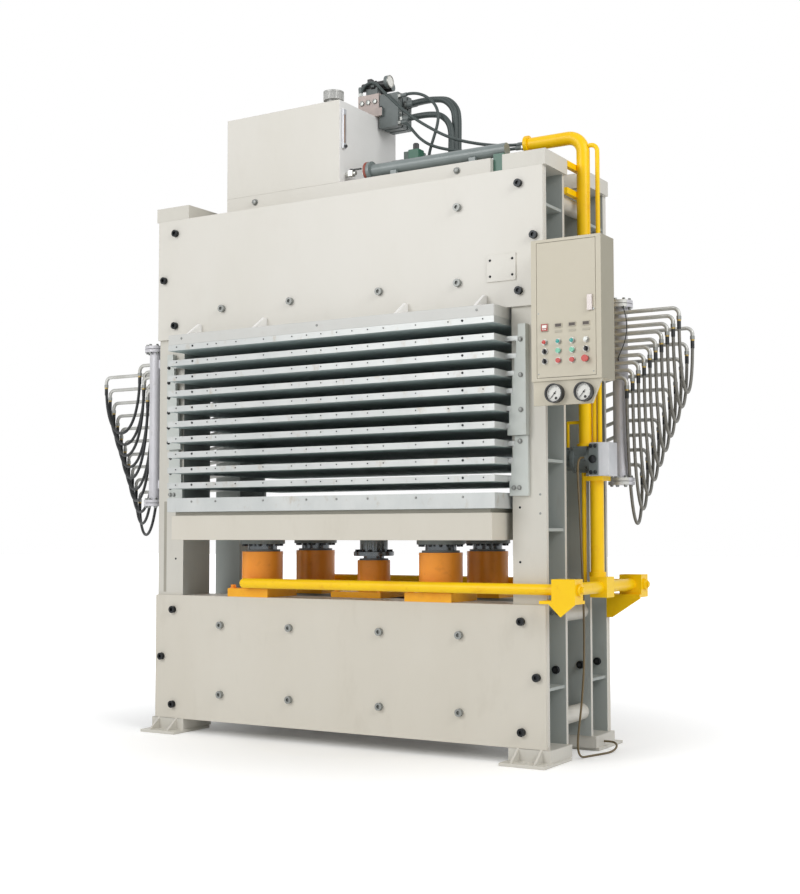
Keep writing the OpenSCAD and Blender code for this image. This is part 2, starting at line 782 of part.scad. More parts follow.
// Prefill valve: flanged round body between the frames
module prefill_valve() {
    l = valve_x - prefill_x;
    color(steel_dark) difference() {
        union() {
            bar_x(prefill_x + 30, valve_x, 0, prefill_z, prefill_d - 30);
            bar_x(prefill_x, prefill_x + 30, 0, prefill_z, prefill_d - 60);
            bar_x(prefill_x + l * 0.35, prefill_x + l * 0.35 + prefill_flange, 0, prefill_z, prefill_d);
            bar_x(valve_x - prefill_flange, valve_x, 0, prefill_z, prefill_d);
            translate([riser_x - 65, -65, prefill_z]) cube([100, 130, riser_foot_z - prefill_z]);
            translate([small_x - 20, -20, prefill_z]) cube([40, 40, prefill_d / 2]);
            translate([riser_x - 15 - 20, -20, prefill_z - prefill_d / 2]) cube([40, 40, prefill_d / 2]);
            translate([gland_x - gland_w / 2, -gland_y, gland_z - gland_w / 2]) cube([gland_w, gland_l, gland_w]);
        }
        bar_x(prefill_x - 1, prefill_x + 12, 0, prefill_z, prefill_d - 100);
    }
}

// Channel frame with deck that carries the power unit on both upper beams
module tank_base() {
    z = z_top;
    h = base_h - deck_t;
    channel = [[0, 0], [channel_w, 0], [channel_w, channel_t], [channel_t, channel_t],
               [channel_t, h - channel_t], [channel_w, h - channel_t], [channel_w, h], [0, h]];
    color(paint_grey) {
        plate_yz([for (p = channel) [base_y[0] + p[0], z + p[1]]], base_x[0], base_x[1] - base_x[0]);
        plate_yz([for (p = channel) [base_y[1] - p[0], z + p[1]]], base_x[0], base_x[1] - base_x[0]);
        for (x = [base_x[0], tank_r - channel_t, motor_x + motor_l, base_x[1] - channel_t])
            translate([x, base_y[0] + 1, z]) cube([channel_t, base_y[1] - base_y[0] - 2, h]);
        translate([base_x[0], base_y[0], z + h]) cube([base_x[1] - base_x[0], base_y[1] - base_y[0], deck_t]);
    }
}

module oil_tank() {
    color(paint_grey) translate([tank_x, tank_y, z_deck]) cube([tank_l, tank_d, tank_h]);
}

// Filler cap with a fluted rim on a neck
module breather_cap() {
    color("#9a9a9a") translate([breather[0], breather[1], tank_top]) {
        cylinder(h = 40, d = breather_d * 0.72);
        difference() {
            translate([0, 0, 32]) cylinder(h = 66, d = breather_d);
            for (a = [0 : 15 : 345]) rotate([0, 0, a]) translate([breather_d / 2 + 3, 0, 30]) cylinder(h = 56, d = 14);
        }
    }
}

// Sight gauge on the tank's right wall
module level_gauge() {
    y = tank_y + 42;
    color("#b9bdbd") difference() {
        translate([tank_r, y - 18, z_deck + 253]) cube([20, 36, 285]);
        translate([tank_r + 12, y - 9, z_deck + 290]) cube([10, 18, 210]);
    }
}

// Foot-mounted electric motor with fins, terminal box and fan cowl
module pump_motor() {
    color("#a9adb0") {
        bar_x(motor_x + 70, motor_x + motor_l - 30, motor_y, motor_z, motor_d - 30);
        bar_x(motor_x, motor_x + 80, motor_y, motor_z, motor_d);
        bar_x(motor_x + motor_l - 40, motor_x + motor_l, motor_y, motor_z, motor_d);
        for (a = [0 : 12 : 348]) translate([motor_x + 70, motor_y, motor_z]) rotate([a, 0, 0])
            translate([0, -3, motor_d / 2 - 22]) cube([motor_l - 100, 6, 20]);
        translate([motor_x + 110, motor_y - 60, motor_z + motor_d / 2 - 30]) cube([120, 120, 70]);
        for (x = [motor_x + 90, motor_x + motor_l - 120])
            translate([x, motor_y - 110, z_deck]) cube([60, 220, motor_z - z_deck - motor_d / 2 + motor_rise]);
    }
}

// Bell housing, pump and its port block
module oil_pump() {
    x0 = motor_x + motor_l;
    color("#55606a") {
        bar_x(x0, x0 + bell_l, motor_y, motor_z, bell_d);
        translate([x0 + bell_l - 1, motor_y - pump_w / 2, z_deck]) cube([pump_l + 1, pump_w, pump_h]);
        bar_x(x0 + bell_l - 1, x0 + bell_l + pump_l * 0.3, motor_y, motor_z, bell_d * 0.6);
    }
}

// Control valves on the tank's right edge: manifold, valve bank past the edge, two coils and a gauge
module valve_stack() {
    x = tank_r;
    color("#4a4f54") {
        translate([x - stack_back, stack_y, tank_top]) cube([stack_back + 60, stack_d, 60]);
        translate([x - stack_back, stack_y + 20, tank_top + 59]) cube([stack_back + 20, stack_d - 40, stack_top - tank_top - 59]);
        for (y = [stack_y + 28, stack_y + 98, stack_y + 168])
            translate([x + 20, y, tank_top - stack_low]) cube([stack_x - 20, 52, stack_low + stack_high]);
        translate([x + 19, stack_y + 34, tank_top - stack_low + 14])
            cube([stack_x - 33, 180, stack_low + stack_high - 28]);
        for (y = coil_ys) {
            bar_x(x - 160, x + 50, y, coil_z, coil_d);
            bar_x(x - 70, x - 40, y, coil_z, coil_d + 16);
            translate([x - 120, y - 25, stack_top - 1]) cube([100, 50, coil_z - stack_top + 1]);
        }
        bar_x(x + 49, x + 78, coil_ys[0], coil_z + 14, 92);
    }
}

// Return pipe on saddles in front of the motor, with a junction block past the base's end
module return_pipe() {
    color("#8d9194") {
        bar_x(return_x[0], return_x[1], return_y, return_z, return_d);
        bar_x(return_x[0], return_x[0] + 24, return_y, return_z, return_d + return_flange);
        for (x = [return_x[0] + 200, return_x[1] - 270])
            translate([x, return_y - 50, z_deck]) cube([50, 100, saddle_h + 14]);
    }
    color("#3f6457") translate([base_x[1] + 1, return_y - 50, z_top])
        cube([return_x[1] - base_x[1] - 1, 100, return_z - return_d / 2 + 10 - z_top]);
}

// Drain cock at the foot of the tank, with its lever on top
module drain_tap() {
    color("#b5b08f") {
        bar_x(tank_r, tank_r + tap_l, tap_y, tap_z, tap_d * 0.7);
        translate([tank_r + 30, tap_y - tap_d / 2, tap_z - tap_d / 2]) cube([40, tap_d, tap_d]);
        translate([tank_r + 50, tap_y, tap_z]) cylinder(h = 34, d = 14);
    }
}

module tap_lever() {
    color("#202224") translate([tank_r + 50, tap_y, tap_z + tap_d / 2]) difference() {
        union() {
            translate([0, 0, 1]) cylinder(h = 12, d = 26);
            translate([0, -9, 1]) cube([84, 18, 8]);
        }
        translate([0, 0, -1]) cylinder(h = 20, d = 14 + 2 * run_gap);
    }
}

// Three thick hoses over to the pump and three slim ones
module power_hoses() {
    x0 = tank_r + stack_x;
    x1 = motor_x + motor_l + bell_l + pump_l / 2;
    color("#3d4347") {
        for (lane = power_lanes) {
            bar_x(x0, x1 - power_bend, lane[0], lane[1], power_d);
            bend_down(x1 - power_bend, lane[0], lane[1], power_bend, power_d);
            translate([x1, lane[0], z_deck + pump_h]) cylinder(h = lane[1] - power_bend - z_deck - pump_h, d = power_d);
        }
        for (r = slim_routes) swept_tube(r, slim_d, 8);
    }
}

// Heating header with flanges, column brackets and stubs at rows; side 1 is right, -1 is left
module header(side, y, zs, reach, level, rows) {
    sy = y > 0 ? 1 : -1;
    quarter(side, 1) {
        translate([header_x, y, zs[0]]) cylinder(h = zs[1] - zs[0], d = header_d);
        for (z = [zs[0], zs[1] - 2 * header_flange_t - 4]) {
            translate([header_x, y, z]) cylinder(h = header_flange_t, d = header_flange_d);
            translate([header_x, y, z + header_flange_t + 4]) cylinder(h = header_flange_t, d = header_flange_d);
        }
        for (z = [zs[0] + 130, zs[1] - 190]) {
            translate([x_out, sy > 0 ? y_in : -y_out, z]) cube([14, frame_d, 60]);
            translate([x_out + 13, y - 20, z + 10]) cube([header_x - x_out - 13, 40, 40]);
        }
        for (i = [0 : hoses - 1]) {
            w = rows[i];
            bar_y(min(y, w), max(y, w), header_x, at(level, i), heat_d);
            translate([header_x, w, at(level, i)]) sphere(d = heat_d);
            bar_x(header_x, at(reach, i) - heat_bend, w, at(level, i), heat_d);
            bend_down(at(reach, i) - heat_bend, w, at(level, i), heat_bend, heat_d);
            translate([at(reach, i), w, at(level, i) - heat_bend - tail]) cylinder(h = tail, d = heat_d);
        }
    }
}

module steam_headers() {
    color(paint_grey) {
        header(1, header_r_y, header_r_z, stub_reach_r, stub_level_r, stub_rows_r);
        header(-1, header_l_y, header_l_z, stub_reach_l, stub_level_l, stub_rows_l);
    }
}

// Hose that hangs in a loop from a header stub at p to a platen pipe at q, both pointing down
module hose_loop(p, q) {
    v = [q[0] - p[0], q[1] - p[1]];
    r = norm(v) / 2;
    z = q[2] - hose_drop + r;
    for (e = [p, q]) translate([e[0], e[1], z]) cylinder(h = e[2] - z, d = hose_d + sleeve);
    translate([(p[0] + q[0]) / 2, (p[1] + q[1]) / 2, z]) rotate([0, 0, atan2(v[1], v[0])])
        rotate([90, 180, 0]) rotate_extrude(angle = 180) translate([r, 0]) circle(d = hose_d);
}

module heating_hoses() {
    low = heat_bend + tail + seat_gap;
    color("#5d5f60") for (i = [0 : hoses - 1]) {
        hose_loop([at(stub_reach_r, i), stub_rows_r[i], at(stub_level_r, i) - low],
            [at(reach_r, i), lane_r_y, at(level_r, i) - low]);
        hose_loop([-at(stub_reach_l, i), stub_rows_l[i], at(stub_level_l, i) - low],
            [-at(reach_l, i), at(lane_l_y, i), at(level_l, i) - low]);
    }
}

module supply_cable() {
    color("#8a6a3a") swept_tube(cable_route, cable_d, cable_sides);
}

// Sheet steel cabinet on two arms, open at the front, with the gauge skirt below it
module control_cabinet() {
    y0 = -cabinet_front;
    color(paint_beige) {
        difference() {
            translate([cabinet_x, y0, cabinet_z]) cube([cabinet_w, cabinet_d, cabinet_h]);
            translate([cabinet_x + cabinet_t, y0 + door_t + 8, cabinet_z + cabinet_t])
                cube([cabinet_w - 2 * cabinet_t, cabinet_d - door_t - 8 - cabinet_t, cabinet_h - 2 * cabinet_t]);
            translate([door_x, y0 - 1, door_z]) cube([door_w, door_t + 20, door_h]);
            translate([hinge_x, hinge_y, door_z + door_gap - pin_out - 0.5])
                cylinder(h = door_h - 2 * door_gap + 2 * pin_out + 1, d = pin_d + 2 * seat_gap);
        }
        for (z = arm_zs)
            translate([x_out, -cabinet_back, z]) cube([cabinet_x + cabinet_w - 40 - x_out, cabinet_back - y_out + plate_t, arm_h]);
        plate_xz([[cabinet_x + 8, cabinet_z + 1], [cabinet_x + cabinet_w - 4, cabinet_z + 1],
            [cabinet_x + cabinet_w - skirt_cut, cabinet_z - skirt_h], [cabinet_x + 8, cabinet_z - skirt_h]],
            y0 + 10, skirt_t);
    }
}

// Door plate with sockets for the controls; hinge edge on the left
module cabinet_door() {
    color(paint_beige) difference() {
        translate([door_x + door_gap, -door_face, door_z + door_gap])
            cube([door_w - 2 * door_gap, door_t, door_h - 2 * door_gap]);
        for (r = [2, 3]) for (x = column_xs)
            bar_y(-door_face - 1, -door_face + door_t + 1, x, row_zs[r], button_d * 0.6 + 2 * run_gap);
        bar_y(-door_face - 1, -door_face + door_t + 1, latch_x, latch_z, 16 + 2 * run_gap);
    }
    color(paint_beige) for (z = [door_z + door_gap - pin_out, door_z + door_h - door_gap - 1])
        translate([hinge_x, hinge_y, z]) cylinder(h = pin_out + 1, d = pin_d);
}

// Swing latch: plate handle with its spindle and cam
module door_latch() {
    color("#e8e6e2") {
        translate([latch_x - 16, -door_face - 14, latch_z - 40]) cube([32, 13, 96]);
        bar_y(-door_face - 2, -door_face + door_t + 3, latch_x, latch_z, 16);
        translate([latch_x - 9, -door_face + door_t + 2, latch_z - 9]) cube([door_x + door_w - latch_x + 5, 5, 18]);
    }
}

// Gauge cases with bezels and dials, open at the front
module pressure_gauges() {
    y0 = -cabinet_front + 10;
    color("#1d1f20") for (x = gauge_xs) difference() {
        bar_y(y0 - gauge_h, y0, x, gauge_z, gauge_d);
        bar_y(y0 - gauge_h - 1, y0 - 20, x, gauge_z, gauge_d - 14);
    }
}

module gauge_needle(i) {
    y0 = -cabinet_front + 10 - 20;
    color("#111111") translate([gauge_xs[i], y0 - 7, gauge_z]) rotate([0, 220, 0]) {
        rotate([-90, 0, 0]) cylinder(h = 6.7, d = 10);
        translate([-1.5, 0, -needle_back]) cube([3, 2, needle_back + gauge_d / 2 - needle_in]);
    }
}

// Fixed instruments on the door: meter, displays and lamps
module door_meters() {
    y = -door_face;
    color("#b9b9b4") {
        translate([column_xs[0] - 24, y - 8, row_zs[0] - 24]) cube([48, 8, 48]);
        for (i = [1 : 3]) {
            translate([column_xs[i] - 24, y - 6, row_zs[0] - 4]) cube([48, 6, 26]);
            translate([column_xs[i] - 24, y - 3, row_zs[0] - 34]) cube([48, 3, 12]);
        }
        for (x = column_xs) {
            bar_y(y - 6, y, x, row_zs[1], button_d + 8);
            bar_y(y - button_out, y - 6, x, row_zs[1], button_d);
        }
        for (r = [2, 3]) for (x = column_xs) difference() {
            bar_y(y - collar_out, y, x, row_zs[r], button_d + 10);
            bar_y(y - collar_out - 1, y + 1, x, row_zs[r], button_d + 2 * run_gap);
        }
    }
}

// Push button in its collar: cap and stem
module push_button(x, z, c) {
    y = -door_face;
    color(c) {
        bar_y(y - button_out, y - button_travel - 0.6, x, z, button_d);
        bar_y(y - button_travel - 2, y + door_t + 6, x, z, button_d * 0.6);
    }
}

// Rotary selector in its collar: round cap with a grip bar
module selector(x, z) {
    y = -door_face;
    color("#26282a") {
        bar_y(y - 12, y - 0.4, x, z, button_d);
        translate([x - 4, y - 26, z - button_d / 2]) cube([8, 15, button_d]);
        bar_y(y - 2, y + door_t + 4, x, z, button_d * 0.6);
    }
}

module emergency_stop() {
    x = column_xs[3];
    z = row_zs[3];
    y = -door_face;
    color("#c3262b") {
        bar_y(y - 34, y - 20, x, z, 42);
        bar_y(y - 21, y - button_travel - 0.6, x, z, button_d);
        bar_y(y - button_travel - 2, y + door_t + 6, x, z, button_d * 0.6);
    }
}

// Lifting table with its neck plate
module table_beam() {
    color(paint_grey) {
        translate([-table_l / 2, -table_w / 2, z_table]) cube([table_l, table_w, table_h]);
        translate([-table_l / 2 + 20, -table_w / 2 + 20, z_neck - 1]) cube([table_l - 40, table_w - 40, neck_h + 1]);
    }
}

module bottom_platen() {
    color(steel_light) platen_plate(z_bed - bottom_platen_h, bottom_platen_h);
}

// Plungers of all cylinders, bolted to the table by their flanges
module plungers() {
    color(steel_dark) {
        for (sx = [-1, 1]) for (sy = [-1, 1]) quarter(sx, sy) translate([cylinder_x, y_cyl, 0]) {
            translate([0, 0, shaft_low]) cylinder(h = z_table - shaft_low, d = plunger_d);
            translate([0, 0, z_table - collar_h]) cylinder(h = collar_h, d = barrel_d + 30);
        }
        translate([0, 0, lift_low]) cylinder(h = z_table - lift_low, d = lift_rod_d);
        translate([0, 0, lift_collar_z]) cylinder(h = collar_h, d = lift_collar_d);
        translate([0, 0, lift_collar_z]) cylinder(h = z_table - lift_collar_z, d = lift_spacer_d);
    }
}

front_columns();
rear_columns();
lower_beams();
upper_beams();
front_panels();
rear_panels();
frame_bolts();
panel_bolts();
tie_tubes();
top_carrier();
top_platen();
step_ladders();
press_cylinders();
feed_pipes();
side_manifold();
main_riser();
pilot_pipes();
valve_block();
prefill_valve();
tank_base();
oil_tank();
breather_cap();
level_gauge();
pump_motor();
oil_pump();
valve_stack();
return_pipe();
drain_tap();
tap_lever();
power_hoses();
steam_headers();
heating_hoses();
supply_cable();
control_cabinet();
cabinet_door();
door_latch();
pressure_gauges();
gauge_needle(0);  // gauge_needle_1
gauge_needle(1);  // gauge_needle_2
door_meters();
selector(column_xs[0], row_zs[2]);  // selector_1
selector(column_xs[3], row_zs[2]);  // selector_2
selector(column_xs[0], row_zs[3]);  // selector_3
push_button(column_xs[1], row_zs[2], "#7cc48f");  // start_button_1
push_button(column_xs[2], row_zs[2], "#7cc48f");  // start_button_2
push_button(column_xs[1], row_zs[3], "#cf4a45");  // stop_button_1
push_button(column_xs[2], row_zs[3], "#cf4a45");  // stop_button_2
emergency_stop();
table_beam();
bottom_platen();
plungers();
loose_platen(1);  // platen_1
loose_platen(2);  // platen_2
loose_platen(3);  // platen_3
loose_platen(4);  // platen_4
loose_platen(5);  // platen_5
loose_platen(6);  // platen_6
loose_platen(7);  // platen_7
loose_platen(8);  // platen_8
loose_platen(9);  // platen_9
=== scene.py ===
"""Looks of the multi-daylight hydraulic hot press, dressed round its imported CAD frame.

Each sub-assembly is a class. It gives the CAD nodes their finishes and adds the small pieces that the
CAD leaves out. Sizes are in millimetres in the press frame: X right, Y back, Z up, floor at Z = 0.
"""

import logging
import math
from dataclasses import dataclass
from enum import Enum
from typing import Optional, Sequence, Union

import bmesh
import bpy
from mathutils import Matrix, Quaternion, Vector

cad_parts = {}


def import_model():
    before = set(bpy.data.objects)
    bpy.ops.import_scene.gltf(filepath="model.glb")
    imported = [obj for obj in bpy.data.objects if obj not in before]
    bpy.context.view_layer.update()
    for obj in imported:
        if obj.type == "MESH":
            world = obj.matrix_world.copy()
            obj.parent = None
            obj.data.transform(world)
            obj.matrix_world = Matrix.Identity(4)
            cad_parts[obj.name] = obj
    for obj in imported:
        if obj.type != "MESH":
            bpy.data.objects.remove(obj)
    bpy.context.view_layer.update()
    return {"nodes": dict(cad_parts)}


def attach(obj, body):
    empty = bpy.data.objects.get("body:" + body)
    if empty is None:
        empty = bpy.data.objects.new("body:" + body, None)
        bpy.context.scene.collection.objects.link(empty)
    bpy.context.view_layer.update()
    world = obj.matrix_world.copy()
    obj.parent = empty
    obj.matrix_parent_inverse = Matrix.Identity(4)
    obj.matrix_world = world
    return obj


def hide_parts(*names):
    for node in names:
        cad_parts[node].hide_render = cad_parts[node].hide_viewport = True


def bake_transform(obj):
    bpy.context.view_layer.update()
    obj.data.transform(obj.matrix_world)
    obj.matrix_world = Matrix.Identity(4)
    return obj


LOG = logging.getLogger("press")
MM = 0.001
FAR = 9000.0
SIDES = (-1.0, 1.0)
CORNERS = tuple((sx, sy) for sx in SIDES for sy in SIDES)
SHARP_DEG = 50.0
WELD_M = 0.00002
COAT_ROUGHNESS = 0.12
WASHER_R = 0.62
WASHER_H = 0.22
HEAD_TURN = 17.0
BAND_SIDES = 40
ROUND_DEG = 80.0
PATCH_NOISE = (0.35, 0.7)
STAIN_NOISE = (0.58, 0.74)
Pair = tuple[float, float]
Point = tuple[float, float, float]


class Axis(Enum):
    """Named directions in the press frame."""

    RIGHT = (1.0, 0.0, 0.0)
    LEFT = (-1.0, 0.0, 0.0)
    BACK = (0.0, 1.0, 0.0)
    FRONT = (0.0, -1.0, 0.0)
    UP = (0.0, 0.0, 1.0)
    DOWN = (0.0, 0.0, -1.0)

    @classmethod
    def out(cls, side: float) -> "Axis":
        """Gives the way out of the front for a negative side, else out of the back."""
        return cls.FRONT if side < 0.0 else cls.BACK


class Body(Enum):
    """CAD bodies that carry most pieces."""

    FRAME = "frame"
    TABLE = "table"
    DOOR = "door"


Way = Union[Axis, Vector]


def linear(code: str) -> tuple[float, float, float, float]:
    """Turns an sRGB hex colour into linear light.

    Args:
        code: Colour such as "#d8d4ca".

    Returns:
        Linear red, green, blue and an alpha of one.
    """
    parts = [int(code[i : i + 2], 16) / 255.0 for i in (1, 3, 5)]
    light = [c / 12.92 if c <= 0.04045 else ((c + 0.055) / 1.055) ** 2.4 for c in parts]
    return (light[0], light[1], light[2], 1.0)


def add_node(
    tree: bpy.types.NodeTree, kind: str, inputs: Optional[dict[str | int, object]] = None, **settings: object
) -> bpy.types.Node:
    """Adds one shader node with its settings, values and links.

    Args:
        tree: Node tree that gets the node.
        kind: Blender node type name without its first words.
        inputs: Input sockets by name or index; an output socket is linked, any other value is set.
        settings: Node properties.

    Returns:
        The new node.
    """
    node = tree.nodes.new(f"ShaderNode{kind}")
    for key, value in settings.items():
        setattr(node, key, value)
    for key, value in (inputs or {}).items():
        if isinstance(value, bpy.types.NodeSocket):
            tree.links.new(value, node.inputs[key])
        else:
            node.inputs[key].default_value = value
    return node


@dataclass(frozen=True)
class Finish:
    """One real material with the way its surface was made.

    Attributes:
        name: Material name.
        color: Base colour as sRGB hex.
        roughness: Surface roughness.
        metallic: Share of bare metal.
        coat: Clear coat weight.
        patch: Second colour that drifts in as broad patches, if any.
        patch_mm: Size of those patches.
        patch_share: Strength of the patches.
        stain: Colour of small stains, if any.
        stain_mm: Size of the stains.
        stain_share: Strength of the stains.
        stretch: Stretch of patches and stains along X, Y and Z.
        grain_mm: Size of the surface grain.
        grain_height_mm: Height of the surface grain.
        shine: Specular level; half is the common one.
        edge_mm: Radius that the shading gives to sharp edges.
    """

    name: str
    color: str
    roughness: float
    metallic: float = 0.0
    coat: float = 0.0
    patch: Optional[str] = None
    patch_mm: float = 600.0
    patch_share: float = 0.5
    stain: Optional[str] = None
    stain_mm: float = 60.0
    stain_share: float = 0.6
    stretch: Point = (1.0, 1.0, 1.0)
    grain_mm: float = 0.0
    grain_height_mm: float = 0.0
    shine: float = 0.5
    edge_mm: float = 0.0

    def build(self) -> bpy.types.Material:
        """Makes the Blender material, or returns the one made before.

        Returns:
            The material.
        """
        made = bpy.data.materials.get(self.name)
        if made is not None:
            return made
        made = bpy.data.materials.new(self.name)
        made.use_nodes = True
        tree = made.node_tree
        tree.nodes.clear()
        place = add_node(tree, "TexCoord").outputs["Object"]
        colour: object = linear(self.color)
        if self.patch is not None:
            colour = self._drift(tree, place, colour, self.patch, self.patch_mm, self.patch_share, PATCH_NOISE)
        if self.stain is not None:
            colour = self._drift(tree, place, colour, self.stain, self.stain_mm, self.stain_share, STAIN_NOISE)
        inputs: dict[str | int, object] = {
            "Base Color": colour, "Roughness": self.roughness, "Metallic": self.metallic,
            "Coat Weight": self.coat, "Coat Roughness": COAT_ROUGHNESS, "Specular IOR Level": self.shine}
        if self.edge_mm > 0.0:
            edge = add_node(tree, "Bevel", {"Radius": self.edge_mm * MM}, samples=6)
            inputs["Normal"] = edge.outputs["Normal"]
        if self.grain_mm > 0.0:
            cells = add_node(
                tree, "TexNoise", {"Vector": place, "Scale": 1.0 / (self.grain_mm * MM), "Detail": 2.0})
            relief = {"Strength": 1.0, "Distance": self.grain_height_mm * MM, "Height": cells.outputs["Fac"]}
            if "Normal" in inputs:
                relief["Normal"] = inputs["Normal"]
            inputs["Normal"] = add_node(tree, "Bump", relief).outputs["Normal"]
        shader = add_node(tree, "BsdfPrincipled", inputs)
        add_node(tree, "OutputMaterial", {"Surface": shader.outputs["BSDF"]})
        return made

    def _drift(
        self, tree: bpy.types.NodeTree, place: bpy.types.NodeSocket, base: object, other: str, size_mm: float,
        share: float, window: Pair,
    ) -> bpy.types.NodeSocket:
        """Lets a second colour drift over the base colour.

        Args:
            tree: Node tree.
            place: Socket with the texture coordinates.
            base: Base colour or its socket.
            other: Second colour as hex.
            size_mm: Size of its patches.
            share: Strength of its patches.
            window: Noise values where the second colour starts and is full.

        Returns:
            Socket with the mixed colour.
        """
        scaled = add_node(tree, "Mapping", {"Vector": place, "Scale": self.stretch})
        noise = add_node(
            tree, "TexNoise",
            {"Vector": scaled.outputs["Vector"], "Scale": 1.0 / (size_mm * MM), "Detail": 5.0,
             "Roughness": 0.6})
        amount = add_node(
            tree, "MapRange",
            {"Value": noise.outputs["Fac"], "From Min": window[0], "From Max": window[1], "To Max": share})
        mix = add_node(
            tree, "Mix", {0: amount.outputs["Result"], 6: base, 7: linear(other)}, data_type="RGBA")
        return mix.outputs[2]


class Palette:
    """All finishes of the press, named for the material and how its surface was made, or for painted light or
    shade.
    """

    # Warm white satin enamel rolled over plate: broad, hardly visible patches keep the big faces from
    # looking flat.
    PANEL = Finish(
        "satin_enamel_on_rolled_plate", "#d6d3cb", 0.45, coat=0.06, patch="#cdc9be", patch_mm=900,
        patch_share=0.5, stain="#b9b2a2", stain_mm=240, stain_share=0.1, stretch=(1.0, 1.0, 0.35),
        grain_mm=9, grain_height_mm=0.05, edge_mm=3.0)
    # The same enamel low on the press and on the table beam, a little darker, warmer and duller.
    PANEL_LOW = Finish(
        "satin_enamel_on_rolled_plate_darker", "#d0cbbf", 0.5, coat=0.04, patch="#c7c1b3", patch_mm=700,
        patch_share=0.55, stain="#aaa292", stain_mm=200, stain_share=0.16, stretch=(1.0, 1.0, 0.4),
        grain_mm=9, grain_height_mm=0.05, edge_mm=3.0)
    # The same enamel on the welded frame, a little greyer from handling and dust.
    FRAME = Finish(
        "satin_enamel_on_welded_frame", "#cdcac1", 0.48, coat=0.05, patch="#c2beb3", patch_mm=700,
        patch_share=0.5, stain="#a59f92", stain_mm=160, stain_share=0.16, stretch=(1.0, 1.0, 0.4),
        grain_mm=10, grain_height_mm=0.05)
    # Painted shade inside the welded columns and between the frames: a darker, cool, matt grey, uneven in
    # patches.
    RECESS_SHADE = Finish(
        "painted_shade_grey_in_recess", "#a8ada9", 0.65, patch="#929894", patch_mm=420, patch_share=0.7,
        stain="#8b8577", stain_mm=120, stain_share=0.3, stretch=(1.0, 1.0, 0.3), grain_mm=8,
        grain_height_mm=0.08)
    # Ground steel platen with a thin oxide film: pale edges with faint brown drips.
    PLATEN = Finish(
        "ground_platen_steel_with_oxide_film", "#c3c5c3", 0.4, metallic=0.35, patch="#aeb2b1", patch_mm=320,
        patch_share=0.7, stain="#9a8463", stain_mm=70, stain_share=0.4, stretch=(1.0, 1.0, 0.6), grain_mm=5,
        grain_height_mm=0.02)
    # Oxide film baked on the platen faces: dull, cool and almost even, dark only in the narrow daylights.
    PLATEN_FACE = Finish(
        "baked_oxide_on_platen_face", "#bcc7c6", 0.65, patch="#aeb9b7", patch_mm=420, patch_share=0.6,
        shine=0.25)
    # Thin grey enamel on the carrier's machined edge: even, with few stains.
    CARRIER = Finish(
        "thin_enamel_on_machined_edge", "#c8c8c4", 0.45, coat=0.05, patch="#bdbdb8", patch_mm=500,
        patch_share=0.5, stain="#a9a398", stain_mm=120, stain_share=0.15, grain_mm=9, grain_height_mm=0.04)
    # Cool grey enamel on the flame-cut ladders: satin, with small dull stains.
    LADDER = Finish(
        "enamel_on_flame_cut_plate", "#c6cac5", 0.46, coat=0.05, patch="#b9beb9", patch_mm=300,
        patch_share=0.5, stain="#a29d92", stain_mm=90, stain_share=0.2, grain_mm=6, grain_height_mm=0.05)
    # The table's neck and the left column's groove strip, painted darker as the shade they lie in; dull.
    NECK_SHADE = Finish("enamel_with_painted_shade_on_table_neck", "#a29e92", 0.6, patch="#959186", patch_mm=300)
    # Gloss enamel sprayed on drawn pipe: a vivid yellow that turns to ochre in thin places.
    YELLOW = Finish(
        "gloss_enamel_on_drawn_pipe_yellow", "#fbcf02", 0.4, coat=0.06, patch="#f3b900", patch_mm=240,
        patch_share=0.5, stain="#d98a06", stain_mm=70, stain_share=0.3, grain_mm=7, grain_height_mm=0.03,
        shine=0.3)
    # The same enamel on the cylinders' base blocks, pulled towards orange by the coat below.
    BASE_YELLOW = Finish(
        "gloss_enamel_on_base_block_amber", "#f5b022", 0.42, coat=0.08, patch="#e89a14", patch_mm=160,
        patch_share=0.5, stain="#c87d12", stain_mm=60, stain_share=0.3, grain_mm=7, grain_height_mm=0.03,
        shine=0.3)
    # Brushed gloss enamel over turned barrels: orange that deepens in patches.
    ORANGE = Finish(
        "gloss_enamel_on_turned_barrel_orange", "#f39a2a", 0.4, coat=0.1, patch="#e3861b", patch_mm=180,
        patch_share=0.6, stain="#b8651a", stain_mm=60, stain_share=0.3, grain_mm=7, grain_height_mm=0.03,
        shine=0.35)
    # Hard chromed and ground shafts under an oil film: dark, with long bright lines.
    SHAFT = Finish(
        "hard_chromed_shaft_with_oil_film", "#63676a", 0.25, metallic=0.8, patch="#4c5153", patch_mm=90,
        patch_share=0.6, stretch=(1.0, 1.0, 4.0))
    # Machined block: cool light grey with a soft sheen.
    MACHINED = Finish(
        "milled_valve_block", "#c9cacd", 0.4, metallic=0.4, patch="#b9bbbe", patch_mm=60, grain_mm=3,
        grain_height_mm=0.02)
    # Painted grey iron: dark with a coarse sand-cast grain.
    CASTING = Finish(
        "painted_sand_casting_charcoal", "#6b7271", 0.5, patch="#535a59", patch_mm=60, grain_mm=3,
        grain_height_mm=0.12)
    # Hammer enamel on the motor's ribbed housing: grey-green with small dimples under a gloss.
    MOTOR = Finish(
        "hammer_enamel_on_ribbed_motor", "#5f6f69", 0.42, coat=0.2, patch="#4f5e59", patch_mm=80,
        grain_mm=4, grain_height_mm=0.08)
    # Grey-green enamel sprayed on the return pipe: a long soft highlight.
    RETURN = Finish("gloss_enamel_on_return_pipe", "#7d8685", 0.36, coat=0.2, patch="#68716f", patch_mm=120)
    # Moulded coil housing of a solenoid: an even deep green with a soft shine.
    SOLENOID = Finish("moulded_coil_housing_green", "#1f5a44", 0.4)
    # Black oxide screws: nearly black with a tight highlight; also small dark discs painted as the shade in open
    # holes.
    BLACK_OXIDE = Finish("black_oxide_screw_and_painted_hole_shade", "#26282a", 0.35, metallic=0.7)
    # Zinc plated screws: pale with a bright rim.
    ZINC = Finish("zinc_plated_screw", "#b9bbb8", 0.3, metallic=0.8)
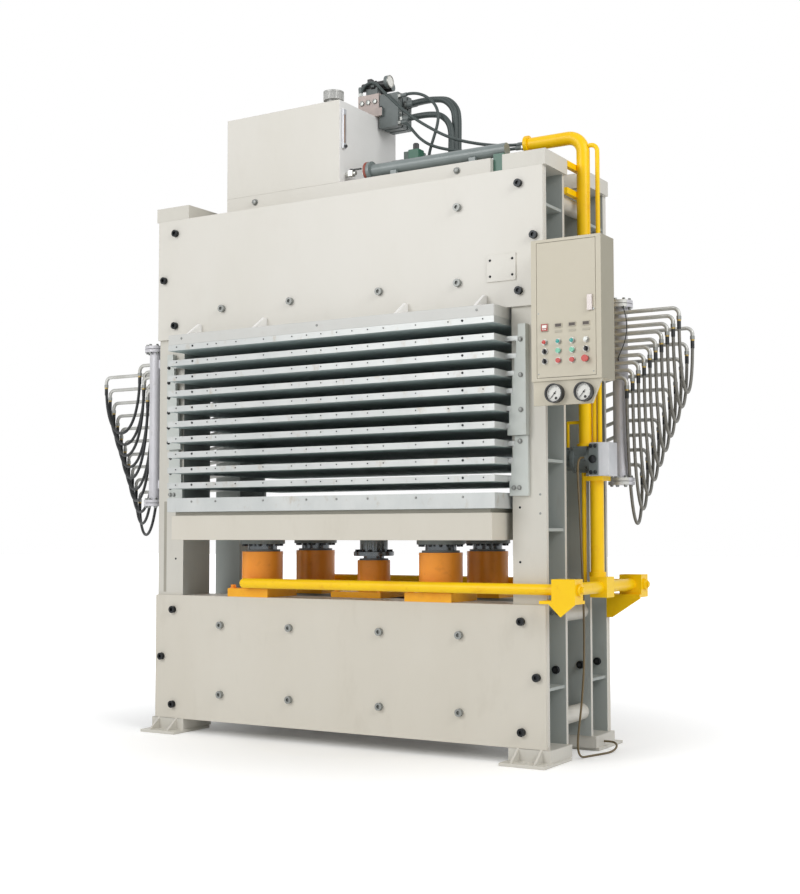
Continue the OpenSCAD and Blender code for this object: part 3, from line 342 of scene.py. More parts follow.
    # Zinc plated bolt heads gone grey: duller, with a soft dark rim.
    BOLT = Finish("weathered_zinc_bolt_head", "#8a8c89", 0.45, metallic=0.5)
    # Dull nickel on couplings and nuts: grey with a clear highlight.
    NICKEL = Finish("nickel_plated_coupling", "#8d8f8c", 0.32, metallic=0.8)
    # Brass ferrules where a hose meets its pipe: small warm bands.
    BRASS = Finish("turned_brass_ferrule", "#b39a5c", 0.38, metallic=0.6)
    # Braided hose cover, warm grey: the weave, drawn coarser than the real one, breaks up the highlight.
    HOSE_RIGHT = Finish(
        "braided_hose_cover_grey", "#7b7972", 0.55, metallic=0.25, patch="#5f5d58", patch_mm=40,
        patch_share=0.7, grain_mm=2.2, grain_height_mm=0.35)
    # The same braid in near black, also used for the couplings' sleeves.
    HOSE_LEFT = Finish(
        "braided_hose_cover_black", "#2b2d2e", 0.6, metallic=0.1, patch="#1f2122", patch_mm=40,
        grain_mm=2.2, grain_height_mm=0.35)
    # Extruded rubber of the power unit's hoses: dark grey-green and softly dull.
    RUBBER = Finish(
        "extruded_hose_rubber", "#3d4746", 0.5, patch="#2f3837", patch_mm=80, grain_mm=3,
        grain_height_mm=0.1)
    # Extruded cable sheath: olive brown where dust and old paint lie on the black.
    SHEATH = Finish("extruded_cable_sheath_olive", "#6d5a36", 0.5, patch="#4a4433", patch_mm=420, patch_share=0.8)
    # Plain extruded sheath of the thin lead: black and smooth.
    LEAD = Finish("extruded_lead_sheath_black", "#2c2e2f", 0.5)
    # Aluminium paint on the heating headers: pale with a faint lilac tint.
    HEADER = Finish(
        "aluminium_paint_on_header_pipe", "#c9c8cc", 0.45, metallic=0.25, patch="#b5b4b8", patch_mm=140,
        stain="#8f8a84", stain_mm=60, stain_share=0.3)
    # Drawn steel pipe of the hose stubs: bright, with grey-brown tints from the heat.
    STUB = Finish(
        "drawn_steel_pipe_heat_tinted", "#c3c3bf", 0.4, metallic=0.5, patch="#a5a49d", patch_mm=90,
        patch_share=0.7)
    # Textured powder coat of the cabinet: beige with a fine orange peel.
    CABINET = Finish(
        "textured_powder_coat_beige", "#c5beac", 0.5, patch="#beb7a3", patch_mm=400, grain_mm=2.5,
        grain_height_mm=0.06)
    # Polished zinc die casting of the latch: pale, with a mild gloss.
    LATCH = Finish("polished_die_cast_latch", "#c6bdb9", 0.35, metallic=0.15, coat=0.1)
    # Moulded black plastic of bezels and knobs: even, with a soft shine.
    BLACK = Finish("moulded_black_plastic", "#1c1d1f", 0.4)
    # Printed dial card: matt white.
    DIAL = Finish("printed_dial_card", "#f3f2ec", 0.6)
    # Printed ink of dial marks and needles: flat black; also painted as the shade in the bolt heads' sockets.
    INK = Finish("printed_black_ink_and_painted_socket_shade", "#1a1a1a", 0.6)
    # Moulded red frame of the temperature meter: even and satin.
    METER = Finish("moulded_meter_frame_red", "#a23c33", 0.45)
    # Smoked window of the displays: dark brown, nearly even.
    DISPLAY = Finish("smoked_display_window", "#3b3029", 0.4)
    # Moulded button caps and lamp lenses: clear even colours with a small gloss.
    GREEN = Finish("moulded_button_cap_green", "#6cbb9c", 0.3, coat=0.2)
    RED = Finish("moulded_button_cap_red", "#bc3f38", 0.35, coat=0.15)
    LENS_RED = Finish("moulded_lamp_lens_red", "#bd352c", 0.25, coat=0.3)
    LENS_GREEN = Finish("moulded_lamp_lens_green", "#2a9a92", 0.25, coat=0.3)
    LENS_WHITE = Finish("moulded_lamp_lens_white", "#e6e9e4", 0.25, coat=0.3)
    # Turned and chromed collars round the buttons: grey with a bright rim.
    COLLAR = Finish("turned_collar_chromed", "#a3a29d", 0.32, metallic=0.7)
    # Anodised strips round the displays: matt beige.
    STRIP = Finish("anodised_label_strip", "#b3ad9d", 0.6)
    # Pressed and zinc plated filler cap: dull grey.
    FILLER = Finish("pressed_filler_cap", "#a3a3a0", 0.45, metallic=0.3)
    # Oil behind a sight glass: brown under a glossy surface.
    SIGHT = Finish("sight_glass_with_oil", "#a9805f", 0.15, coat=0.5)
    # Red lead primer that shows on the return flange: matt and brownish.
    PRIMER = Finish("red_lead_primer", "#8f4a3c", 0.55)
    # Nickel plated casting of the drain tap: pale and shiny.
    TAP = Finish("nickel_plated_cast_tap", "#c9c9c4", 0.3, metallic=0.6)
    # Iron manifold under a thin pink primer: blotchy and rather matt.
    MANIFOLD = Finish(
        "primed_iron_manifold", "#b5a8a2", 0.5, metallic=0.15, patch="#978c88", patch_mm=70,
        patch_share=0.6, grain_mm=4, grain_height_mm=0.08)
    # Dark green enamel on the return line's junction block: satin, with darker patches.
    JUNCTION = Finish("enamel_on_junction_block_green", "#3f6a5a", 0.42, coat=0.1, patch="#34584b", patch_mm=90)
    # Cabinet's coat painted darker as shade on the wall that is turned away from the operator and the light;
    # duller.
    CABINET_SHADE = Finish(
        "textured_powder_coat_beige_painted_shade", "#9b9686", 0.58, patch="#918c7b", patch_mm=300, grain_mm=2.5,
        grain_height_mm=0.06)
    # Enamel painted lighter, as the light that falls on them, on the tank's right end wall and the carrier's
    # gussets.
    PAINTED_LIGHT_ENAMEL = Finish("satin_enamel_with_painted_light", "#efeeeb", 0.45, coat=0.08, patch="#e4e3df", patch_mm=400)
    # Painted studio floor: matt and nearly white.
    FLOOR = Finish("studio_floor_paint", "#f7f7f6", 0.75)


def aim(way: Way) -> Vector:
    """Gives a named or free direction as a vector."""
    return Vector(way.value) if isinstance(way, Axis) else way


def circle(
    centre: Point, way: Way, radius: float, height: float, count: int, turn: float = 0.0
) -> list[Vector]:
    """Spaces points evenly on a circle round an axis.

    Args:
        centre: Point on the axis at height zero.
        way: Direction of the axis.
        radius: Radius of the circle.
        height: Its height along the axis.
        count: Number of points.
        turn: Angle of the first point in degrees.

    Returns:
        The points in order.
    """
    spin = aim(Axis.UP).rotation_difference(aim(way))
    angles = [math.radians(turn) + 2.0 * math.pi * k / count for k in range(count)]
    spots = [Vector((radius * math.cos(a), radius * math.sin(a), height)) for a in angles]
    return [Vector(centre) + spin @ spot for spot in spots]


def soft_edges(thing: bpy.types.Object, width_mm: float) -> None:
    """Bevels the sharp edges of an object.

    Args:
        thing: The object.
        width_mm: Bevel width.
    """
    bevel = thing.modifiers.new("soft_edges", "BEVEL")
    bevel.width = width_mm * MM
    bevel.segments = 2
    bevel.limit_method = "ANGLE"
    bevel.angle_limit = math.radians(SHARP_DEG)


class Draft:
    """Collects simple solids in one mesh and turns them into a piece."""

    def __init__(self, name: str) -> None:
        """Starts an empty draft.

        Args:
            name: Name of the piece.
        """
        self.name = name
        self.mesh = bmesh.new()
        self.finishes: list[Finish] = []

    def _slot(self, finish: Finish) -> int:
        """Gives the material index of a finish on this piece."""
        if finish not in self.finishes:
            self.finishes.append(finish)
        return self.finishes.index(finish)

    def box(self, low: Point, high: Point, finish: Finish) -> "Draft":
        """Adds a box.

        Args:
            low: Lowest corner.
            high: Highest corner.
            finish: Its finish.

        Returns:
            This draft.
        """
        xs, ys, zs = zip(low, high)
        corners = [self.mesh.verts.new((x, y, z)) for z in zs for y in ys for x in xs]
        index = self._slot(finish)
        for side in ((0, 2, 3, 1), (4, 5, 7, 6), (0, 1, 5, 4), (2, 6, 7, 3), (0, 4, 6, 2), (1, 3, 7, 5)):
            self.mesh.faces.new([corners[i] for i in side]).material_index = index
        return self

    def skin(self, rows: Sequence[Sequence[Vector]], finish: Finish, loop: bool = False) -> "Draft":
        """Adds a solid that is skinned over rows of points.

        Args:
            rows: Rows with as many points each.
            finish: Its finish.
            loop: Whether the last row joins the first; otherwise both ends are closed.

        Returns:
            This draft.
        """
        index = self._slot(finish)
        rings = [[self.mesh.verts.new(p) for p in row] for row in rows]
        faces = [] if loop else [self.mesh.faces.new(rings[0][::-1]), self.mesh.faces.new(rings[-1])]
        for low, high in zip(rings, rings[1:] + rings[:1] if loop else rings[1:]):
            for k in range(len(low)):
                j = (k + 1) % len(low)
                faces.append(self.mesh.faces.new([low[k], low[j], high[j], high[k]]))
        for face in faces:
            face.material_index = index
        return self

    def lathe(
        self, origin: Point, way: Way, profile: Sequence[Pair], finish: Finish,
        sides: int = 24, turn: float = 0.0
    ) -> "Draft":
        """Adds a turned solid.

        Args:
            origin: Point on the axis at height zero.
            way: Direction of the axis.
            profile: Pairs of radius and height, from one end to the other.
            finish: Its finish.
            sides: Number of sides; 6 gives a hexagon.
            turn: Turn about the axis in degrees.

        Returns:
            This draft.
        """
        return self.skin([circle(origin, way, r, h, sides, turn) for r, h in profile], finish)

    def screw(
        self, spot: Point, way: Way, across: float, height: float, finish: Finish, turn: float = 0.0
    ) -> "Draft":
        """Adds a hexagon head with a washer.

        Args:
            spot: Point on the seat.
            way: Direction out of the seat.
            across: Width over the corners.
            height: Head height.
            finish: Its finish.
            turn: Turn of the hexagon in degrees.

        Returns:
            This draft.
        """
        self.lathe(spot, way, [(across * WASHER_R, 0.0), (across * WASHER_R, height * WASHER_H)], finish, 18)
        head = Vector(spot) + aim(way) * height * WASHER_H
        profile = [(across / 2, 0.0), (across / 2, height * 0.68), (across * 0.42, height * 0.78)]
        return self.lathe(head, way, profile, finish, 6, turn)

    def ring(
        self, centre: Point, way: Way, radius: float, count: int, across: float, height: float, finish: Finish
    ) -> "Draft":
        """Adds a circle of hexagon heads, each turned a little further.

        Args:
            centre: Centre of the circle on the seat.
            way: Direction out of the seat.
            radius: Radius of the circle.
            count: Number of heads.
            across: Width over corners.
            height: Head height.
            finish: Their finish.

        Returns:
            This draft.
        """
        for k, spot in enumerate(circle(centre, way, radius, 0.0, count)):
            self.screw(spot, way, across, height, finish, HEAD_TURN * k)
        return self

    def band(
        self, centre: Point, way: Way, inner: float, outer: float, height: float, finish: Finish
    ) -> "Draft":
        """Adds a flat ring with a hole.

        Args:
            centre: Centre of its seat.
            way: Its axis.
            inner: Inner radius.
            outer: Outer radius.
            height: Its height.
            finish: Its finish.

        Returns:
            This draft.
        """
        section = ((inner, 0.0), (outer, 0.0), (outer, height), (inner, height))
        return self.skin([circle(centre, way, r, h, BAND_SIDES) for r, h in section], finish, True)

    def tube(self, path: Sequence[Vector], diameter: float, finish: Finish, sides: int) -> "Draft":
        """Adds a round tube along a path.

        Args:
            path: Points along its centreline.
            diameter: Its diameter.
            finish: Its finish.
            sides: Number of sides.

        Returns:
            This draft.
        """
        angles = [2.0 * math.pi * k / sides for k in range(sides)]
        rows = []
        side: Optional[Vector] = None
        for i, spot in enumerate(path):
            way = (path[min(i + 1, len(path) - 1)] - path[max(i - 1, 0)]).normalized()
            side = way.orthogonal().normalized() if side is None else side
            side = (side - way * way.dot(side)).normalized()
            other = way.cross(side)
            rows.append([spot + (side * math.cos(a) + other * math.sin(a)) * diameter / 2 for a in angles])
        return self.skin(rows, finish)

    def piece(
        self, body: Optional[Body | str], bevel_mm: float = 0.0, smooth_deg: float = 40.0
    ) -> bpy.types.Object:
        """Turns the draft into a piece.

        Args:
            body: CAD body that carries it, or None for a piece that is placed later.
            bevel_mm: Width of softened edges.
            smooth_deg: Faces that meet at less than this angle shade smoothly.

        Returns:
            The new object.
        """
        bmesh.ops.recalc_face_normals(self.mesh, faces=self.mesh.faces[:])
        bmesh.ops.scale(self.mesh, vec=(MM, MM, MM), verts=self.mesh.verts[:])
        data = bpy.data.meshes.new(self.name)
        self.mesh.to_mesh(data)
        self.mesh.free()
        for finish in self.finishes:
            data.materials.append(finish.build())
        made = bpy.data.objects.new(self.name, data)
        bpy.context.scene.collection.objects.link(made)
        if bevel_mm > 0.0:
            soft_edges(made, bevel_mm)
        for polygon in data.polygons:
            polygon.use_smooth = True
        data.set_sharp_from_angle(angle=math.radians(smooth_deg))
        if body is not None:
            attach(made, body.value if isinstance(body, Body) else body)
        LOG.info("piece %s", self.name)
        return made


def smooth_path(points: Sequence[Point], steps: int = 8) -> list[Vector]:
    """Runs a smooth curve through points.

    Args:
        points: Points to pass.
        steps: New points in each stretch.

    Returns:
        Points along the curve.
    """
    spots = [Vector(p) for p in points]
    ends = [spots[0] * 2 - spots[1], *spots, spots[-1] * 2 - spots[-2]]
    path: list[Vector] = []
    for a, b, c, d in zip(ends, ends[1:], ends[2:], ends[3:]):
        for t in (k / steps for k in range(steps)):
            bow, twist = 2 * a - 5 * b + 4 * c - d, 3 * b - a - 3 * c + d
            path.append(0.5 * ((2 * b) + (c - a) * t + bow * t**2 + twist * t**3))
    path.append(spots[-1])
    return path


@dataclass(frozen=True)
class Cord:
    """One kind of hose, cable or lead.

    Attributes:
        diameter: Its diameter.
        finish: Its cover.
        sides: Number of sides of its tube.
        stiffness: How stiff it is; not used.
        lay: How it lies; not used.
        node: CAD node that it stands for, if any.
    """

    diameter: float
    finish: Finish
    sides: int
    stiffness: str
    lay: str
    node: Optional[str] = None

    def run(self, name: str, path: Sequence[Vector], body: Optional[Body] = Body.FRAME) -> bpy.types.Object:
        """Args:
            name: Name of the piece.
            path: Points along it, from its exit on.
            body: CAD body that carries it, or None for a cord that is placed later.

        Returns:
            The new object.
        """
        made = Draft(name).tube(path, self.diameter, self.finish, self.sides).piece(body, 0.0, ROUND_DEG)
        if self.node is not None:
            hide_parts(self.node)
        return made


@dataclass(frozen=True)
class Zone:
    """Box on a CAD node whose faces take a finish of their own.

    Attributes:
        finish: Finish of the faces whose middle lies in the box.
        low: Lowest corner.
        high: Highest corner.
    """

    finish: Finish
    low: Point = (-FAR, -FAR, -FAR)
    high: Point = (FAR, FAR, FAR)

    def holds(self, spot: Vector) -> bool:
        """Tells whether a point in millimetres lies in the box."""
        return all(a <= v <= b for a, v, b in zip(self.low, spot, self.high))


@dataclass
class Assembly:
    """Sub-assembly whose CAD nodes are dressed together.

    Attributes:
        nodes: CAD nodes by name.
    """

    nodes: dict[str, bpy.types.Object]

    def dress(self, names: str, finish: Finish, bevel_mm: float = 0.0, *zones: Zone) -> None:
        """Gives CAD nodes a finish and soft edges without touching their own vertices.

        Args:
            names: Names of the nodes, parted by spaces.
            finish: The finish.
            bevel_mm: Width of softened edges; none if zero.
            zones: Boxes with a finish of their own; the last one that holds a face wins.
        """
        for name in names.split():
            thing = self.nodes[name]
            thing.data.materials.clear()
            for kind in (finish, *(zone.finish for zone in zones)):
                thing.data.materials.append(kind.build())
            for face in thing.data.polygons if zones else ():
                middle = face.center / MM
                for index, zone in enumerate(zones, start=1):
                    if zone.holds(middle):
                        face.material_index = index
            if bevel_mm > 0.0:
                thing.modifiers.new("weld", "WELD").merge_threshold = WELD_M
                soft_edges(thing, bevel_mm)
                thing.modifiers.new("flat_faces", "WEIGHTED_NORMAL").keep_sharp = True
            LOG.info("node %s: %s", name, finish.name)


@dataclass(frozen=True)
class PressLines:
    """Main lines of the press frame in millimetres."""

    x_out: float = 1610.0
    x_in: float = 1370.0
    y_in: float = 180.0
    y_out: float = 482.0
    y_face: float = 505.0
    z_foot: float = 100.0
    z_lower: float = 1002.0
    z_table: float = 1410.0
    z_neck: float = 1585.0
    z_bed: float = 1712.0
    z_carrier: float = 2832.0
    z_upper: float = 2907.0
    z_top: float = 3807.0
    pitch: float = 112.0
    platen_t: float = 42.0
    platen_x: float = 1350.0
    platen_y: float = 685.0
    loose: int = 9

    def platen_z(self, k: int) -> float:
        """Gives the height of platen k's underside; the fixed one at the top comes after the loose ones."""
        return self.z_bed + k * self.pitch - self.platen_t


LINE = PressLines()


@dataclass
class FrameAssembly(Assembly):
    """Columns, beams, face panels, bolts, ties and ladders."""

    skin: float = 2.0
    plate_t: float = 20.0
    blank_x: Pair = (1208.0, 1418.0)
    blank_z: Pair = (3080.0, 3257.0)
    blank_t: float = 8.0
    blank_inset: Pair = (24.0, 36.0)
    ladder_split: float = 2080.0
    ladder_faces: Pair = (25.0, 50.0)
    step_screw_x: float = -1476.0
    step_screw_rise: float = 12.0
    ladder_bolts: tuple[Pair, ...] = ((1459.0, 2690.0), (1459.0, 2462.0), (1459.0, 2239.0), (1440.0, 2040.0))
    stop_xs: tuple[float, ...] = (-1477.0, -1442.0, 1394.0, 1433.0)
    stop_rise: float = 32.0
    open_holes: tuple[Pair, ...] = ((1423.0, 1618.0), (1423.0, 1270.0), (-1441.0, 1270.0))
    plugged_holes: tuple[Pair, ...] = ((1567.0, 1699.0), (1567.0, 1579.0))
    groove_shade_low: Pair = (-1557.0, 1023.0)
    groove_shade_high: Pair = (-1532.0, 1695.0)
    groove_shade_t: float = 0.8
    tie_bolt: Pair = (1540.0, 572.0)
    tie_head: float = 30.0
    nipple_xs: Pair = (1512.0, 1556.0)
    nipple_z: float = 938.0
    carrier_xs: Point = (-1225.0, -20.0, 1225.0)
    carrier_rise: float = 44.0

    def recesses(self) -> list[Zone]:
        """Lists the boxes inside the open columns, with their window sides, whose faces get painted shade.

        Returns:
            One zone for each column.
        """
        zones = []
        for sx, sy in CORNERS:
            xs = sorted((sx * (LINE.x_in - self.skin), sx * (LINE.x_out - self.skin)))
            ys = sorted((sy * (LINE.y_in - self.skin), sy * (LINE.y_out - self.skin)))
            low = (xs[0], ys[0], LINE.z_foot + self.skin)
            zones.append(Zone(Palette.RECESS_SHADE, low, (xs[1], ys[1], LINE.z_top - self.skin)))
        return zones

    def build(self) -> None:
        """Dresses the frame and adds its small pieces."""
        inner = LINE.y_in + self.skin
        # Faces between the front and rear frames get the darker recess grey as painted shade.
        shaded_gap = Zone(Palette.RECESS_SHADE, (-FAR, -inner, 0.0), (FAR, inner, FAR))
        low_panels = Zone(Palette.PANEL_LOW, high=(FAR, FAR, LINE.z_lower + 1.0))
        # The carrier's gussets above the upper panels are painted lighter, as the light that falls on them.
        gussets = Zone(Palette.PAINTED_LIGHT_ENAMEL, low=(-FAR, -FAR, LINE.z_upper + 0.5))
        # The columns' recesses get the darker grey as painted shade.
        self.dress("front_columns rear_columns", Palette.FRAME, 3.0, *self.recesses())
        self.dress("lower_beams upper_beams", Palette.FRAME, 3.0, shaded_gap)
        self.dress("tie_tubes", Palette.FRAME, 2.0)
        self.dress("step_ladders", Palette.LADDER, 2.0)
        self.dress("front_panels rear_panels", Palette.PANEL, 0.0, low_panels)
        self.dress("top_carrier", Palette.CARRIER, 3.0, gussets)
        self.dress("frame_bolts", Palette.BLACK_OXIDE, 1.5)
        self.dress("panel_bolts", Palette.BOLT, 1.5)
        self.blank_plate()
        self.ladder_screws()
        self.carrier_screws()
        self.recess_bolts()

    def blank_plate(self) -> None:
        """Adds the bare plate with four screws on the front upper panel."""
        y = -LINE.y_face - self.blank_t
        (x0, x1), (z0, z1), (dx, dz) = self.blank_x, self.blank_z, self.blank_inset
        draft = Draft("front_blank_plate").box((x0, y, z0), (x1, -LINE.y_face, z1), Palette.PANEL)
        for x in (x0 + dx, x1 - dx):
            for z in (z0 + dz, z1 - dz):
                draft.screw((x, y, z), Axis.FRONT, 14.0, 6.0, Palette.BLACK_OXIDE)
        draft.piece(Body.FRAME, 2.0)

    def ladder_screws(self) -> None:
        """Adds ladder screws, dark discs as painted shade in the column holes and a painted shade strip in the
        left column's groove.
        """
        draft = Draft("ladder_screws")
        low, high = (LINE.y_out + rise for rise in self.ladder_faces)
        steps = [(self.step_screw_x, LINE.platen_z(k) + self.step_screw_rise) for k in range(1, LINE.loose + 1)]
        heads = (
            (steps, 22.0, 12.0, Palette.BLACK_OXIDE, 25.0), (self.ladder_bolts, 28.0, 14.0, Palette.BOLT, 12.0))
        # Open holes are drawn as small dark discs, painted as the shade inside them.
        holes = ((self.open_holes, Palette.BLACK_OXIDE), (self.plugged_holes, Palette.BOLT))
        for side in SIDES:
            way = Axis.out(side)
            for spots, across, height, finish, turn in heads:
                for x, z in spots:
                    face = high if z > self.ladder_split else low
                    draft.screw((x, side * face, z), way, across, height, finish, turn)
            for x in self.stop_xs:
                draft.screw((x, side * low, LINE.z_bed + self.stop_rise), way, 26.0, 14.0, Palette.BOLT, 12.0)
            for spots, finish in holes:
                for x, z in spots:
                    rim = [(8.0, 0.0), (8.0, 1.0), (5.0, 1.5)]
                    draft.lathe((x, side * LINE.y_out, z), way, rim, finish, 16)
        # A flat dark strip, not a real groove, is painted as the shade in the left column's groove.
        (x0, z0), (x1, z1) = self.groove_shade_low, self.groove_shade_high
        draft.box((x0, -LINE.y_out - self.groove_shade_t, z0), (x1, -LINE.y_out, z1), Palette.NECK_SHADE)
        draft.piece(Body.FRAME)

    def recess_bolts(self) -> None:
        """Adds the bolt heads and nipples that show inside the open columns and between the frames."""
        draft = Draft("recess_bolts")
        x, z = self.tie_bolt
        plate_y = -LINE.y_in - self.plate_t
        for side in SIDES:
            for y in (plate_y, LINE.y_in, LINE.y_out - self.plate_t):
                head = [(26.0, 0.0), (26.0, 26.0), (23.0, self.tie_head)]
                draft.lathe((side * x, y, z), Axis.FRONT, head, Palette.BLACK_OXIDE, 28)
                # A flat black hexagon on each head is painted as the shade in its socket.
                socket = [(13.0, 0.0), (13.0, 0.6)]
                draft.lathe((side * x, y - self.tie_head, z), Axis.FRONT, socket, Palette.INK, 6)
        for x in self.nipple_xs:
            nipple = [(17.0, 0.0), (17.0, 16.0), (11.0, 18.0), (11.0, 34.0)]
            draft.lathe((x, plate_y, self.nipple_z), Axis.FRONT, nipple, Palette.NICKEL, 20)
        draft.piece(Body.FRAME)

    def carrier_screws(self) -> None:
        """Adds the few screws on the carrier's front and rear edges."""
        draft = Draft("carrier_screws")
        for side in SIDES:
            for x in self.carrier_xs:
                spot = (x, side * LINE.platen_y, LINE.z_carrier + self.carrier_rise)
                draft.screw(spot, Axis.out(side), 14.0, 6.0, Palette.BOLT)
        draft.piece(Body.FRAME)


@dataclass
class PlatenStack(Assembly):
    """Hot platens, table and their edge screws."""

    plug_xs: tuple[float, ...] = (
        -1270.0, -1120.0, -980.0, -900.0, -720.0, -475.0, -230.0, -105.0, 15.0, 145.0, 270.0, 395.0,
        520.0, 770.0, 1015.0, 1120.0, 1270.0)
    big_plug: float = 1120.0
    plug_rs: Pair = (4.5, 8.0)
    plug_rise: float = 4.0
    bed_drop: float = 26.0
    rim: float = 50.0
    skin: float = 0.2
    right_pipe_y: Pair = (560.0, 640.0)
    left_pipe_y: Pair = (-200.0, 200.0)

    def build(self) -> None:
        """Dresses the platens and the table."""
        x, y = LINE.platen_x, LINE.platen_y
        loose = range(1, LINE.loose + 1)
        (right_0, right_1), (left_0, left_1) = self.right_pipe_y, self.left_pipe_y
        self.dress(
            "top_platen bottom_platen " + " ".join(f"platen_{k}" for k in loose), Palette.PLATEN, 1.5,
            Zone(Palette.STUB, (x + self.skin, right_0, 0.0), (FAR, right_1, FAR)),
            Zone(Palette.STUB, (-FAR, left_0, 0.0), (-x - self.skin, left_1, FAR)),
            Zone(Palette.PLATEN_FACE, (self.rim - x, self.rim - y, 0.0), (x - self.rim, y - self.rim, FAR)))
        # The neck's faces are painted darker as the shade under the bed.
        neck = Zone(Palette.NECK_SHADE, (-FAR, -FAR, LINE.z_neck + 0.5), (FAR, FAR, LINE.z_bed))
        self.dress("table_beam", Palette.PANEL_LOW, 3.0, neck)
        for k in loose:
            self.edge_screws(k, f"loose_platen_{k}")
        self.edge_screws(LINE.loose + 1, Body.FRAME)
        self.bed_screws()

    def edge_screws(self, k: int, body: Body | str) -> None:
        """Adds the plugs along a platen's edges.

        Args:
            k: Number of the platen.
            body: CAD body of the platen.
        """
        draft = Draft(f"platen_{k}_edge_screws")
        z = LINE.platen_z(k) + LINE.platen_t / 2
        for side in SIDES:
            for x in self.plug_xs:
                r = self.plug_rs[abs(x) == self.big_plug]
                spot = (x, side * LINE.platen_y, z + self.plug_rise)
                draft.lathe(spot, Axis.out(side), [(r, 0.0), (r, 3.0), (r - 3.0, 5.0)], Palette.BLACK_OXIDE, 12)
        draft.piece(body)

    def bed_screws(self) -> None:
        """Adds the screws along the bottom platen's edges."""
        draft = Draft("bottom_platen_screws")
        for side in SIDES:
            for x in self.plug_xs[1::2]:
                spot = (x, side * LINE.platen_y, LINE.z_bed - self.bed_drop)
                draft.screw(spot, Axis.out(side), 13.0, 6.0, Palette.BOLT)
        draft.piece(Body.TABLE)


@dataclass
class Hydraulics(Assembly):
    """Cylinders, plungers, pressure pipes and valves."""

    cylinder: Pair = (750.0, 331.0)
    barrel_top: float = 1325.0
    lift_top: float = 1262.0
    lift_flange_z: float = 1322.0
    base_screw: Point = (150.0, 145.0, 60.0)
    lift_screw: Point = (180.0, 205.0, 40.0)
    base_low: Point = (-2000.0, -600.0, 990.0)
    base_high: Point = (2000.0, 600.0, 1062.5)
    flange_t: float = 30.0
    manifold_end: Point = (1855.0, 540.0, 1102.0)
    cap_t: float = 18.0
    adapter_low: Point = (1727.0, -86.0, 1833.0)
    adapter_high: Point = (1786.0, -70.0, 2037.0)
    adapter_xs: Pair = (1741.0, 1772.0)
    adapter_zs: Pair = (1850.0, 2020.0)
    prefill_at: Point = (1703.0, 0.0, 1935.0)
    plug_x: float = 1756.0

    def build(self) -> None:
        """Dresses the hydraulics and adds flange screws."""
        self.dress(
            "press_cylinders", Palette.ORANGE, 2.0, Zone(Palette.BASE_YELLOW, self.base_low, self.base_high))
        self.dress("feed_pipes side_manifold main_riser pilot_pipes", Palette.YELLOW, 1.5)
        self.dress("valve_block", Palette.MACHINED, 2.0)
        self.dress("prefill_valve", Palette.CASTING, 1.5)
        flanges = Zone(Palette.CASTING, low=(-FAR, -FAR, LINE.z_table - self.flange_t - 1.0))
        self.dress("plungers", Palette.SHAFT, 1.5, flanges)
        self.flange_screws()
        self.gland_rings()
        self.manifold_details()

    def barrels(self) -> list[Pair]:
        """Lists the centres of the main cylinders."""
        return [(sx * self.cylinder[0], sy * self.cylinder[1]) for sx, sy in CORNERS]

    def flange_screws(self) -> None:
        """Adds screws under the table flanges and on the base flanges."""
        moving, fixed = Draft("plunger_flange_screws"), Draft("cylinder_base_screws")
        dx, dy, dz = self.base_screw
        for x, y in self.barrels():
            seat = (x, y, LINE.z_table - self.flange_t)
            moving.ring(seat, Axis.DOWN, 138.0, 12, 26.0, 16.0, Palette.BLACK_OXIDE)
            for sx, sy in CORNERS:
                spot = (x + sx * dx, y + sy * dy, LINE.z_lower + dz)
                fixed.screw(spot, Axis.UP, 40.0, 26.0, Palette.ORANGE)
        moving.ring((0.0, 0.0, self.lift_flange_z), Axis.UP, 122.0, 10, 26.0, 16.0, Palette.BLACK_OXIDE)
        dx, dy, dz = self.lift_screw
        for sx, sy in CORNERS:
            fixed.screw((sx * dx, sy * dy, LINE.z_lower + dz), Axis.UP, 36.0, 24.0, Palette.ORANGE)
        moving.piece(Body.TABLE)
        fixed.piece(Body.FRAME)

    def gland_rings(self) -> None:
        """Adds the dark wiper ring at the mouth of each barrel."""
        draft = Draft("gland_rings")
        for x, y in self.barrels():
            draft.band((x, y, self.barrel_top), Axis.UP, 107.0, 128.0, 14.0, Palette.CASTING)
        draft.band((0.0, 0.0, self.lift_top), Axis.UP, 77.0, 105.0, 12.0, Palette.CASTING)
        draft.piece(Body.FRAME)

    def manifold_details(self) -> None:
        """Adds plugs and screws on the manifold, valve block and prefill valve."""
        draft = Draft("manifold_plugs")
        x, y, z = self.manifold_end
        for side in SIDES:
            cap = [(38.0, 0.0), (38.0, 14.0), (34.0, self.cap_t)]
            draft.lathe((x, side * y, z), Axis.RIGHT, cap, Palette.YELLOW, 32)
            draft.screw((x + self.cap_t, side * y, z), Axis.RIGHT, 40.0, 16.0, Palette.YELLOW)
        draft.piece(Body.FRAME)
        valve = Draft("valve_block_screws").box(self.adapter_low, self.adapter_high, Palette.CASTING)
        face = self.adapter_low[1]
        for x in self.adapter_xs:
            for z in self.adapter_zs:
                valve.screw((x, face, z), Axis.FRONT, 20.0, 14.0, Palette.BLACK_OXIDE)
        plug = [(26.0, 0.0), (26.0, 12.0), (20.0, 16.0)]
        valve.lathe((self.plug_x, face, self.prefill_at[2]), Axis.FRONT, plug, Palette.BLACK_OXIDE, 32)
        valve.ring(self.prefill_at, Axis.LEFT, 74.0, 8, 18.0, 12.0, Palette.BLACK_OXIDE)
        valve.piece(Body.FRAME, 1.0)


